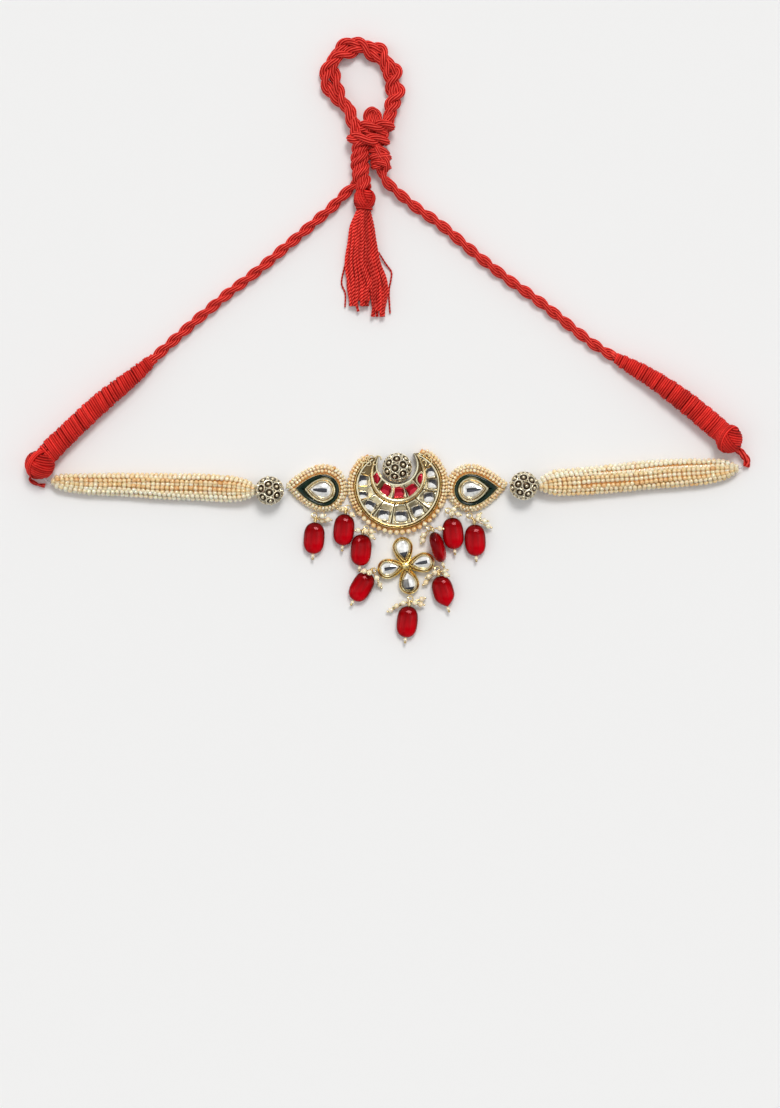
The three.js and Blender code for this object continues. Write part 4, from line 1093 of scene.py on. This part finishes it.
def circle_reach(origin, degrees, circle, radius):
    """How far a ray from a point runs until it leaves a circle."""
    ray = direction(degrees)
    offset = np.array(circle[:2]) - origin
    along = ray @ offset
    return along + np.sqrt(along**2 - offset @ offset + radius**2)


def cell_outline(origin, start, end, back, outer, inner, steps=5):
    """A cell between two curves seen from one origin, its sides set back evenly."""
    square = perimeter(steps)
    inward = (square[:, 1] + 1) / 2
    share = (square[:, 0] + 1) / 2
    degrees = start + (end - start) * share
    reach = outer(degrees) * (1 - inward) + inner(degrees) * inward
    degrees = degrees - square[:, 0] * np.degrees(back / reach)
    return np.array(origin) + direction(degrees) * reach[:, None]


def outer_cell(start, end):
    return cell_outline(
        (0, 0), start, end, CELL_WALL / 2,
        lambda angle: edge_reach(angle) - RIM,
        lambda angle: circle_reach((0, 0), angle, INNER, INNER[2] + 0.1),
    )


def inner_cell(start, end):
    return cell_outline(
        MOUTH[:2], start, end, CELL_WALL / 2,
        lambda angle: circle_reach(MOUTH[:2], angle, INNER, INNER[2] - 1.8),
        lambda angle: np.full(len(angle), MOUTH[2] + INNER_WALL),
    )


def horned(circle, radius, steps=56):
    """Points of a circle from horn to horn, up to the height where the horns are cut."""
    rise = np.clip((CRESCENT["horn"] - circle[1]) / radius, -1, 1)
    end = 180 - math.degrees(math.acos(rise))
    return np.array(circle[:2]) + radius * direction(np.linspace(-end, end, steps + 1))


def outer_edge(margin, steps=72):
    share = CRESCENT["horn"] / CRESCENT["rise"]
    end = 180 - math.degrees(math.atan2(CRESCENT["radius"] * math.sqrt(1 - share**2), CRESCENT["horn"]))
    degrees = np.linspace(-end, end, steps + 1)
    return direction(degrees) * (edge_reach(degrees) + margin)[:, None]


def band(inner, outer, rows):
    """A body swept between two open rows of points, through rows of share, further millimetres,
    height and shade. Where the band is narrow the millimetres shrink with it."""
    apart = outer - inner
    width = np.linalg.norm(apart, axis=1, keepdims=True)
    shrink = np.minimum(1, width / 3.4)
    rings = [
        np.hstack([inner + apart * share + apart / width * more * shrink, np.full((len(inner), 1), height)])
        for share, more, height, _ in rows
    ]
    shade = np.broadcast_to([row[3] for row in rows], (len(inner), len(rows)))
    return grid(np.stack(rings, axis=1), shade=shade)


def bezel(cell, stone, floor, top, inside):
    """A frame round a stone: a lip at the cell's wall that slopes down to the stone, painted bright as a
    highlight on the lip and dark as shade at its foot.
    """
    rows = [
        (0.0, floor, 0.0), (0.02, top - 0.35, 0.25), (0.12, top, 0.95), (0.3, top + 0.02, 0.9),
        (0.5, top - 0.22, 0.62), (0.86, inside + 0.12, 0.85), (0.97, inside, 0.5), (0.97, floor, 0.0),
    ]
    return between(cell, stone, rows)


def stone_outline(x, y, half_width, half_height, turn, margin=0.0):
    """A cushion stone's outline in the crescent's own frame."""
    flat = rounded(perimeter(5), CUSHION) * (half_width + margin, half_height + margin)
    page = turned(flat, turn) + (x - CRESCENT["x"], y - CRESCENT["y"])
    return turned(page, -CRESCENT["turn"])


def marquise_outline(x, y, half_width, half_height, steps=10):
    """A pointed oval's outline in the crescent's own frame."""
    run = np.linspace(-1, 1, steps, endpoint=False)
    right = np.stack([half_width * (1 - run**2), half_height * run], axis=1)
    page = np.vstack([right, -right]) + (x - CRESCENT["x"], y - CRESCENT["y"])
    return turned(page, -CRESCENT["turn"])


def on_crescent(solid):
    return placed(solid, CRESCENT["x"], CRESCENT["y"], CRESCENT["turn"])


def crescent_gold():
    inner, outer = horned(MOUTH, MOUTH[2]), outer_edge(0)
    ends = np.linspace(0, 1, 73)
    inner = np.stack([np.interp(ends, np.linspace(0, 1, len(inner)), column) for column in inner.T], axis=1)
    # The last number of each row is painted light: near 1 a painted highlight on ridge tops, near 0 painted shade
    # in grooves, on inner walls and at the foot.
    plate = [(0, 0, 0, 0.2), (0, 0, CELL_FLOOR, 0.1), (1, -0.2, CELL_FLOOR, 0.1), (1, -0.2, 0, 0.2)]
    edge = [
        (1, -RIM, 1.6, 0.1), (1, -RIM, RIM_TOP - 0.25, 0.3), (1, -RIM + 0.18, RIM_TOP + 0.05, 1.0),
        (1, -0.72, RIM_TOP + 0.05, 0.85), (1, -0.56, RIM_TOP - 0.25, 0.3), (1, -0.44, RIM_TOP - 0.75, 0.0),
        (1, -0.3, RIM_TOP - 0.5, 0.4), (1, -0.08, RIM_TOP - 0.35, 0.85), (1, 0.14, RIM_TOP - 0.6, 0.6),
        (1, 0.2, RIM_TOP - 1.1, 0.3), (1, 0.2, 1.0, 0.15), (1, 0.4, 0.8, 0.2), (1, 0.4, 0, 0.1),
        (1, -RIM, 0.2, 0.1),
    ]
    near = horned(MOUTH, MOUTH[2] + 0.1, 72)
    far = horned(INNER, INNER[2], 72)
    raised = [
        (0, -0.1, 1.2, 0.3), (0, -0.1, INNER_TOP - 0.3, 0.5), (0, 0.1, INNER_TOP, 1.0),
        (0, 0.7, INNER_TOP, 0.9),
        (0, 0.85, INNER_TOP - 0.4, 0.3), (0, 0.95, INNER_FLOOR + 0.3, 0.05), (1, -2.0, INNER_FLOOR + 0.3, 0.05),
        (1, -1.9, INNER_TOP - 0.5, 0.3), (1, -1.65, INNER_TOP - 0.1, 0.75), (1, -1.2, INNER_TOP + 0.15, 0.8),
        (1, -0.7, INNER_TOP + 0.05, 0.55), (1, -0.25, INNER_TOP - 0.35, 0.4), (1, 0.0, INNER_TOP - 0.95, 0.6),
        (1, 0.05, CELL_FLOOR + 0.2, 0.0), (1, 0.05, 1.2, 0.0),
    ]
    solids = [band(inner, outer, plate), band(outer * 0.6, outer, edge), band(near, far, raised)]
    levels = CELL_FLOOR - 0.3, RIM_TOP - 0.05, RIM_TOP - 0.75
    for start, end, row in zip(CELL_ANGLES, CELL_ANGLES[1:], CLEAR_STONES):
        solids.append(bezel(outer_cell(start, end), stone_outline(*row[:5], STONE_GAP), *levels))
    levels = INNER_FLOOR - 0.3, INNER_TOP - 0.1, INNER_TOP - 0.6
    for start, end, row in zip(RUBY_ANGLES, RUBY_ANGLES[1:], RED_STONES):
        solids.append(bezel(inner_cell(start, end), stone_outline(*row, STONE_GAP), *levels))
    for x, y in MARQUISES:
        solids.append(bezel(
            marquise_outline(x, y, 2.0, 3.1), marquise_outline(x, y, *MARQUISE),
            INNER_FLOOR - 0.3, INNER_TOP - 0.15, INNER_TOP - 0.5,
        ))
    return [on_crescent(solid) for solid in solids] + horn_curls()


# Curled wires in the horns: place on the page, height, radius, and the angles where each starts and ends.
CURLS = [
    (-6.9, -45.6, 4.4, 1.5, 20, 250), (-4.2, -45.4, 5.4, 1.3, -30, 200), (-8.9, -48.2, 4.0, 1.6, 60, 230),
    (-9.6, -50.0, 3.9, 1.1, 80, 330), (13.0, -46.8, 4.6, 1.2, -60, 120), (15.0, -46.2, 4.0, 1.5, -80, 60),
    (-7.6, -47.2, 4.1, 1.0, 200, 460), (-8.3, -45.4, 3.9, 0.9, 0, 260), (-5.2, -47.2, 5.6, 0.8, 90, 360),
    (13.6, -49.2, 5.0, 0.9, 120, 380), (12.2, -44.8, 4.4, 1.1, 40, 290), (14.2, -44.2, 4.0, 1.0, -40, 200),
]


def horn_curls():
    solids = []
    for x, y, z, radius, start, end in CURLS:
        angle = np.radians(np.linspace(start, end, 14))
        shrink = np.linspace(1, 0.6, 14)
        path = (x, y, z) + radius * shrink[:, None] * orbit(angle, [1.0, 0.0, 0.0], [0.0, 1.0, 0.0])
        solids.append(tube(path, 0.26, 6, shade=0.75))
    return solids


def crescent_stones():
    solids = []
    for x, y, width, height, turn, lean in CLEAR_STONES:
        levels = RIM_TOP - 0.75, RIM_TOP - 0.25, CELL_FLOOR - 0.2
        solids.append(placed(square_stone(width, height, *levels, lean, CLEAR_PAINTED_REFLECTIONS), x, y, turn * 0.55))
    return solids


def crescent_rubies():
    solids = []
    for x, y, width, height, turn in RED_STONES:
        levels = INNER_TOP - 0.6, INNER_TOP - 0.1, INNER_FLOOR - 0.2
        solids.append(placed(square_stone(width, height, *levels, 0.2, RED_PAINTED_REFLECTIONS), x, y, turn))
    wide, tall = MARQUISE
    for x, y in MARQUISES:
        run = np.linspace(-1, 1, 10)
        side = np.stack([tall * run, np.maximum(wide * (1 - run**2), 0.04)], axis=1)
        across = np.array([-1, -0.6, 0, 0.6, 1])
        height = INNER_TOP - 0.05 - 0.55 * np.maximum(np.abs(across)[None], np.abs(run[:, None])) ** 2
        top = np.dstack([np.broadcast_to(side[:, :1], (10, 5)), side[:, 1:] * across, height])
        # Painted reflections: one tone for each strip of facets across the stone, a little varied.
        shades = np.broadcast_to([0.3, 0.7, 0.35, 0.25], (9, 4)) + RANDOM.uniform(-0.08, 0.08, (9, 4))
        solids.append(placed(slab(top, INNER_FLOOR - 0.2, shades), x, y, 90))
    return solids


def crescent_seeds():
    """One row of pearls below, and rows of finer ones up the horns."""
    horn = [(136, 1.0, 2.9, 0.62, 1.27), (133, 2.05, 2.2, 0.68, 1.36), (128, 2.3, 0.9, 0.7, 1.4)]
    rows = [(-58, 58, 1.7, 2.2, 1.0, 2.25)]
    rows += [(-end, -60, *row) for end, *row in horn] + [(60, end, *row) for end, *row in horn]
    places, sizes = [], []
    for start, end, offset, height, radius, pitch in rows:
        degrees = np.linspace(start, end, 200)
        line = direction(degrees) * (edge_reach(degrees) + offset)[:, None]
        row = evenly(level(line, height), pitch)
        places.append(row + RANDOM.normal(0, 0.05, row.shape))
        sizes.append(np.full(len(row), radius) * RANDOM.uniform(0.94, 1.05, len(row)))
    places, sizes = np.vstack(places), np.concatenate(sizes)
    shade = drawn_shade(0.46, 0.16, len(places))
    # A thread under the pearls; its shade of 0 gives it the pearl ramp's deep end, painted shade between the
    # pearls.
    wall = [(0, 0, 0.3, 0), (0, 0, 2.0, 0), (1, 0, 1.5, 0), (1, 0, 0.3, 0)]
    thread = band(outer_edge(0.35), outer_edge(1.9), wall)
    return [on_crescent(balls(places, sizes, shade)), on_crescent(thread)]


def add_crescent():
    stones = [f"crescent_stone_{i}" for i in range(1, 10)]
    rubies = [f"crescent_ruby_{i}" for i in range(1, 6)]
    piece("crescent_gold", crescent_gold(), GOLD, ["crescent_frame"], crease=50)
    piece("crescent_clear", crescent_stones(), FOIL_STONE, stones, by_face=True)
    piece("crescent_red", crescent_rubies(), RED_STONE, rubies, by_face=True)
    piece("crescent_seeds", crescent_seeds(), PEARL, ["crescent_pearls"])


# Openwork balls

BALLS = {
    "crescent_ball": (*BALL_PLACE, 5.6, 0.4), "strand_ball_left": (-45.2, -57.5, 5.5, 1.7),
    "strand_ball_right": (51.0, -55.7, 5.45, 2.9),
}


def cycled(first, second):
    """Directions with every sign of two numbers, in each of the three planes."""
    signs = [(a, b) for a in (-1, 1) for b in (-1, 1)]
    return [np.roll((0, a * first, b * second), turn) for turn in range(3) for a, b in signs]


# Directions of a ball's round cells: towards the corners and the faces of a twenty-sided body.
CUBE = [(a, b, c) for a in (-1, 1) for b in (-1, 1) for c in (-1, 1)]
CELLS = unit(np.vstack([cycled(1, GOLDEN), CUBE, cycled(GOLDEN, 1 / GOLDEN)]))
# A cell's half angle, and the radii of its wire and of the grain in it.
CELL_LEAN, CELL_WIRE, GRAIN = 18.2, 0.23, 0.7


def on_ball(centre, radius, axis, lean, angle):
    """Points round an axis on a ball."""
    first = unit(np.cross(axis, [0.37, 0.21, 0.9]))
    second = np.cross(axis, first)
    outward = math.cos(lean) * axis + math.sin(lean) * orbit(angle, first, second)
    return centre + radius * outward, outward


def openwork_ball(x, y, radius, seed):
    """A hollow painted dark as shade, under a shell of rings with a grain in each."""
    centre = np.array([x, y, radius])
    tilt = Vector((math.cos(seed), math.sin(seed), 0.6)).to_track_quat("Z", "Y").to_matrix()
    swing = np.array(tilt)
    # The inner ball takes the darkest tone: painted shade seen between the rings.
    solids = [balls([centre], radius - 0.75, 0.0, segments=20, rings=12)]
    axes = CELLS @ swing.T
    for axis in axes:
        path, outward = on_ball(centre, radius - 0.26, axis, math.radians(CELL_LEAN), full_turn(18))
        solids.append(sweep(path, circle(6), CELL_WIRE, side=outward, closed=True, shade=0.85))
    grains = centre + (radius - 0.5) * axes
    return [*solids, balls(grains, GRAIN, 0.7, segments=10, rings=7)]


def add_balls():
    for name, (x, y, radius, seed) in BALLS.items():
        piece(f"{name}_openwork", openwork_ball(x, y, radius, seed), ANTIQUE, [name], crease=60)


# The drop-shaped settings

PEARS = {
    "left": {"x": -24.9, "y": -57.4, "turn": 176.1},
    "right": {"x": 30.8, "y": -57.3, "turn": 5.1},
}
# Drop outlines, each the radius of its round end and the reach to its point.
PEAR_RIM, PEAR_CHANNEL, PEAR_BEZEL = (6.3, 10.9), (5.9, 10.1), (4.6, 7.1)
PEAR_LIP, PEAR_STONE = (3.75, 5.9), (3.2, 5.1)


def pear_gold():
    # The last number of each row is painted light: high for a painted highlight on the tops, low for painted
    # shade at the feet and in the hollows.
    back = walled(drop_outline(*PEAR_RIM), [(0.1, 0, 0.2), (0.1, 1.9, 0.1)], closed=False)
    rim = walled(drop_outline(*PEAR_RIM), [
        (0, 0.2, 0.2), (0, 3.3, 0.5), (0.08, 3.7, 0.8), (0.24, 3.85, 1.0), (0.42, 3.6, 0.6), (0.46, 1.8, 0.0),
        (0.46, 0.2, 0.0),
    ])
    bezel_wall = [
        (0, 1.8, 0.0), (0, 3.9, 0.4), (0.1, 4.35, 0.85), (0.35, 4.5, 1.0), (0.72, 4.35, 0.85),
        (0.88, 4.0, 0.2), (0.92, 3.4, 0.0), (0.92, 1.8, 0.0),
    ]
    lip = [
        (0, 1.8, 0.0), (0, 4.0, 0.3), (0.12, 4.65, 0.8), (0.3, 4.75, 1.0), (0.5, 4.4, 0.6), (0.58, 3.8, 0.1),
        (0.58, 1.8, 0.0),
    ]
    return [back, rim, walled(drop_outline(*PEAR_BEZEL), bezel_wall), walled(drop_outline(*PEAR_LIP), lip)]


def pear_seeds(rise):
    """Three rows of pearls that step down from the rim."""
    solids = []
    rows = [(0.85, 3.0, 0.66, 1.34), (1.75, 2.1, 0.68, 1.38), (2.35, 0.8, 0.7, 1.42)]
    for out, height, radius, pitch in rows:
        line = inset(drop_outline(*PEAR_RIM, 24), -out)
        line = np.vstack([line, line[:1]])
        line[:, 1] += rise * out / 2.4
        row = evenly(level(line, height), pitch)[:-1]
        row = row + RANDOM.normal(0, 0.06, row.shape)
        shade = drawn_shade(0.62, 0.2, len(row))
        solids.append(balls(row, radius * RANDOM.uniform(0.92, 1.05, len(row)), shade))
    # A thread under the pearls; its shade of 0 gives it the pearl ramp's deep end, painted shade between the
    # pearls.
    thread = [(-1.9, 0.2, 0), (-1.3, 1.9, 0), (-0.1, 2.8, 0), (-0.1, 0.2, 0)]
    return solids + [walled(drop_outline(*PEAR_RIM), thread)]


def add_pear(side):
    at = PEARS[side]["x"], PEARS[side]["y"], PEARS[side]["turn"]
    rise = -0.9 if side == "left" else 0.9
    enamel = walled(drop_outline(*PEAR_CHANNEL), [
        (0.04, 1.9, 0.5), (0.04, 3.15, 0.5), (0.35, 3.3, 0.5), (0.9, 3.2, 0.5), (1.3, 2.9, 0.5),
    ], closed=False)
    stone = drop_stone(*PEAR_STONE, 3.7, 4.5, 1.9, barred)
    piece(f"pear_gold_{side}", [placed(s, *at) for s in pear_gold()], GOLD, [f"pear_setting_{side}"], crease=50)
    piece(f"pear_green_{side}", [placed(enamel, *at)], ENAMEL, [f"pear_enamel_{side}"], crease=60)
    piece(f"pear_clear_{side}", [placed(stone, *at)], FOIL_STONE, [f"pear_stone_{side}"], by_face=True)
    seeds = [placed(s, *at) for s in pear_seeds(rise)]
    piece(f"pear_seeds_{side}", seeds, PEARL, [f"pear_pearls_{side}"])


# The four-petalled flower

FLOWER = {"x": 6.4, "y": -85.9, "turn": 10, "reach": 11}
PETAL, PETAL_INNER, PETAL_STONE = (3.9, 7.8), (3.15, 5.7), (2.62, 4.4)
# Each petal stone's pattern of painted reflection.
PETAL_TONES = [barred, patched, barred, grey_sided_reflection]


def petal_place(solid, i):
    solid.points = turned(turned(solid.points, 180) + (FLOWER["reach"] - PETAL[0], 0, 0), 90 * i)
    return placed(solid, FLOWER["x"], FLOWER["y"], FLOWER["turn"])


def add_flower():
    gold, stones = [], []
    for i, tone in enumerate(PETAL_TONES):
        # The last number of each row is painted light: high for a painted highlight on the tops, low for painted
        # shade at the feet and inside.
        body = walled(drop_outline(*PETAL), [
            (0.25, 0, 0.2), (0, 0.3, 0.3), (0, 2.3, 0.5), (0.15, 2.9, 0.75), (0.4, 3.1, 0.9), (0.62, 2.9, 0.3),
            (0.8, 2.2, 0.1),
        ], closed=False)
        ring = walled(drop_outline(*PETAL_INNER), [
            (0, 1.9, 0.0), (0, 3.6, 0.4), (0.1, 4.1, 0.85), (0.28, 4.25, 1.0), (0.46, 4.0, 0.6), (0.52, 3.4, 0.1),
            (0.52, 1.9, 0.0),
        ])
        gold += [petal_place(body, i), petal_place(ring, i)]
        stones.append(petal_place(drop_stone(*PETAL_STONE, 3.4, 4.15, 1.9, tone), i))
    hub = balls([(FLOWER["x"], FLOWER["y"], 1.7)], 2.2, 0.6, squash=(1, 1, 0.75), segments=16, rings=8)
    stone_nodes = [f"flower_stone_{i}" for i in range(1, 5)]
    piece("flower_gold", gold + [hub], RICH_GOLD, ["flower_setting"], crease=50)
    piece("flower_clear", stones, FOIL_STONE, stone_nodes, by_face=True)


# Red glass drops on their pins

DROPS = [
    {"at": (-28.4, -75.5, 2.4), "tilt": -4, "roll": 0, "eye": (-28.3, -66.9, 2.2),
     "pearls": [(-25.4, -68.9, 2.0), (-23.2, -68.5, 2.6), (-25.2, -67.2, 4.0)]},
    {"at": (-17.1, -72.3, 2.4), "tilt": -5, "roll": 0, "eye": (-15.6, -64.0, 2.2),
     "pearls": [(-18.2, -64.6, 2.4), (-17.6, -64.6, 4.6), (-14.0, -66.6, 5.0)]},
    {"at": (-10.6, -80.0, 3.1), "tilt": -5, "roll": 14, "eye": (-8.6, -71.8, 2.4),
     "pearls": [(-11.8, -72.6, 5.2), (-8.7, -73.0, 5.6), (-6.5, -75.0, 4.4), (-6.7, -73.0, 3.2)]},
    {"at": (18.5, -78.9, 4.3), "tilt": 16.8, "roll": 74, "eye": (15.2, -71.8, 3.0),
     "pearls": [(19.3, -71.9, 5.0), (13.1, -74.2, 2.6), (12.9, -76.4, 2.2)]},
    {"at": (24.3, -73.7, 2.4), "tilt": 5.6, "roll": 0, "eye": (22.4, -65.1, 2.2),
     "pearls": [(23.8, -66.4, 5.0), (26.2, -66.6, 4.0), (24.6, -64.6, 3.0)]},
    {"at": (32.7, -76.3, 2.4), "tilt": 3, "roll": 0, "eye": (30.6, -67.0, 2.2),
     "pearls": [(33.8, -68.4, 4.6), (36.2, -69.0, 3.6), (37.6, -71.0, 2.2), (34.0, -67.0, 2.6)]},
    {"at": (-10.4, -93.9, 2.4), "tilt": -30, "roll": 0, "eye": (-5.9, -87.8, 2.6),
     "pearls": [(-9.4, -88.0, 5.2), (-7.4, -88.6, 6.0), (-4.6, -90.6, 5.6), (-3.5, -93.2, 1.6)]},
    {"at": (6.9, -107.2, 2.4), "tilt": -6, "roll": 0, "eye": (8.1, -98.4, 2.4),
     "pearls": [(9.8, -100.0, 3.4), (12.0, -100.6, 2.4), (12.4, -98.6, 2.0), (5.4, -100.2, 3.2),
                (2.9, -101.2, 2.4), (0.7, -102.8, 1.8)]},
    {"at": (20.6, -95.7, 2.4), "tilt": 15.8, "roll": 0, "eye": (18.2, -87.2, 2.6), "point": 1.0,
     "pearls": [(17.2, -88.6, 5.2), (20.9, -87.9, 1.9), (21.6, -89.4, 4.4), (15.2, -90.0, 2.4),
                (14.0, -92.4, 1.8)]},
]
BEAD_LENGTH, BEAD_WIDTH, BEAD_THICKNESS = 6.0, 4.0, 2.3
WIRE, PEARL_RADIUS, END_PEARL = 0.21, 1.06, 0.72


def glass_bead(drop):
    """A flat oval of pressed glass, squarer across than a plain oval, with a soft facet down each edge."""
    steps, corners = 30, 32
    place = np.sin(np.linspace(-math.pi / 2, math.pi / 2, steps) * 0.985)
    lower = np.clip(-place, 0, 1)
    point = drop.get("point", 0)
    power = 2.9 - 1.3 * point * lower
    width = BEAD_WIDTH * (1 - np.abs(place) ** power) ** (0.47 + 0.3 * point * lower)
    thickness = BEAD_THICKNESS * (1 - np.abs(place) ** 3.2) ** 0.5
    angle = full_turn(corners)
    squared = lambda value: np.sign(value) * np.abs(value) ** 0.8
    across, upward = squared(np.sin(angle)), squared(np.cos(angle))
    rings = np.dstack([
        width[:, None] * across, np.broadcast_to(place[:, None] * BEAD_LENGTH, (steps, corners)),
        thickness[:, None] * upward,
    ])
    edge = np.abs(across)[None] ** 5 * np.ones((steps, 1)) + np.abs(place[:, None]) ** 8
    # Painted light and shade: lighter towards the lower end, darker at the rim and both ends.
    shade = np.clip(0.5 - 0.2 * place[:, None] - 0.3 * edge, 0, 1)
    lay = rings / BEAD_WIDTH
    made = grid(rings, shade=shade, lay=lay)
    roll = math.radians(drop["roll"])
    x, z = made.points[:, 0].copy(), made.points[:, 2].copy()
    made.points[:, 0] = x * math.cos(roll) + z * math.sin(roll)
    made.points[:, 2] = z * math.cos(roll) - x * math.sin(roll)
    made.points = turned(made.points, drop["tilt"]) + drop["at"]
    return made


def coil(start, end, radius, turns, wire=WIRE):
    """Wire wound round a line."""
    start, end = np.array(start, float), np.array(end, float)
    steps = int(turns * 10)
    line = start + (end - start) * np.linspace(0, 1, steps)[:, None]
    ahead = unit(end - start)
    side = unit(np.cross(ahead, [0.1, 0.2, 1.0]))
    outward = orbit(turns * full_turn(steps), side, np.cross(ahead, side))
    return sweep(line + radius * outward, circle(6), wire, side=outward, shade=RANDOM.uniform(0.35, 0.7))


def drop_parts(drop):
    """Wires, small gold beads and pearls of one drop."""
    at = np.array(drop["at"])
    down = np.append(direction(drop["tilt"]), 0)
    head = at - down * (BEAD_LENGTH + 0.25)
    stem = head - down * 1.3
    foot = at + down * (BEAD_LENGTH + 0.85)
    eye = np.array(drop["eye"])
    wires = [
        tube(np.array([foot + down * 1.1, head - down * 1.2]), WIRE, 6, shade=0.5),
        coil(head, stem, 0.55, 3.5),
        tube(smooth([stem, (stem + eye) / 2 + (0.2, 0.1, 0.5), eye + unit(stem - eye) * 1.05], 0.5),
             WIRE * 1.3, 6, shade=0.5),
        coil(stem, stem + (eye - stem) * 0.55, 0.42, 3.0, 0.17),
        balls([foot + down * 1.0], 0.52, 0.35, segments=10, rings=7),
    ]
    angle = full_turn(18)[:, None]
    for tilt, size in ((0.25, 1.05), (-0.35, 0.9)):
        ring = np.hstack([np.cos(angle), np.sin(angle), tilt * np.sin(angle + size)]) * size
        wires.append(tube(eye + ring, WIRE, 6, closed=True, shade=0.6))
    pearls = [balls([foot], END_PEARL, 0.8)]
    for pearl in np.array(drop["pearls"]):
        out = unit(pearl - stem)
        bend = (stem + pearl) / 2 + (0, 0, 0.3)
        wires.append(tube(smooth([stem, bend, pearl + out * 1.5], 0.5), 0.15, 6, shade=0.45))
        wires.append(balls([pearl + out * 1.35], 0.5, 0.75, segments=10, rings=7))
        wires.append(coil(pearl - out * 1.7, pearl - out * 1.0, 0.3, 2.5, 0.13))
        pearls.append(balls([pearl], PEARL_RADIUS, drawn_shade(0.78, 0.1), segments=16, rings=10))
    return wires, pearls


def add_drops():
    wires, pearls = [], []
    for drop in DROPS:
        gold, white = drop_parts(drop)
        wires += gold
        pearls += white
    beads = [glass_bead(drop) for drop in DROPS]
    numbers = range(1, len(DROPS) + 1)
    piece("drop_glass", beads, RED_GLASS, [f"drop_bead_{i}" for i in numbers], crease=40)
    piece("drop_wires", wires, GOLD, [f"drop_pin_{i}" for i in numbers], crease=60)
    piece("drop_seeds", pearls, PEARL)


# Clear thread where the strands end and run through the gold balls

THREADS = [
    [(-52.6, -57.5, 5.5), (-45.2, -57.5, 5.5), (-39.4, -57.5, 5.5), (-38.2, -57, 4.2), (-37.9, -56.6, 2.6)],
    [(-126, -54.2, 3.4), (-128.6, -54.5, 3.2), (-130.2, -53.1, 3.4)],
    [(58.4, -55.7, 5.5), (51, -55.7, 5.5), (45.4, -55.7, 5.5), (44.7, -55.9, 4.2), (44.5, -56.1, 2.6)],
    [(130.5, -49.3, 3.4), (133.3, -48.9, 3.3), (134.1, -48.4, 3.3)],
]


def add_clear_thread():
    solids = []
    for route in THREADS:
        for start in (0, 1.6):
            line = smooth(route, 0.4)
            run = run_length(line)[:, None]
            aside = np.hstack([0.0 * run, np.sin(run * 1.4 + start), np.cos(run * 1.4 + start)]) * 0.22
            solids.append(tube(line + aside, 0.2, 7))
    piece("clear_threads", solids, CLEAR_THREAD)


# Run

SIDE_NAMES = ("left", "right")

add_camera()
knot_entries = [rope_end for side in SIDE_NAMES for rope_end in add_cord(side)]
add_world()
add_suns()
add_floor()
for side in SIDE_NAMES:
    add_wrap(side)
piece("loop_ropes", loop_ropes(), RED, ["cord_loop"])
add_knot(knot_entries)
add_tassel()
for side in SIDE_NAMES:
    add_strands(side)
add_crescent()
add_balls()
for side in SIDE_NAMES:
    add_pear(side)
add_flower()
add_drops()
add_clear_thread()

scene = bpy.context.scene
scene.view_settings.view_transform = "Standard"
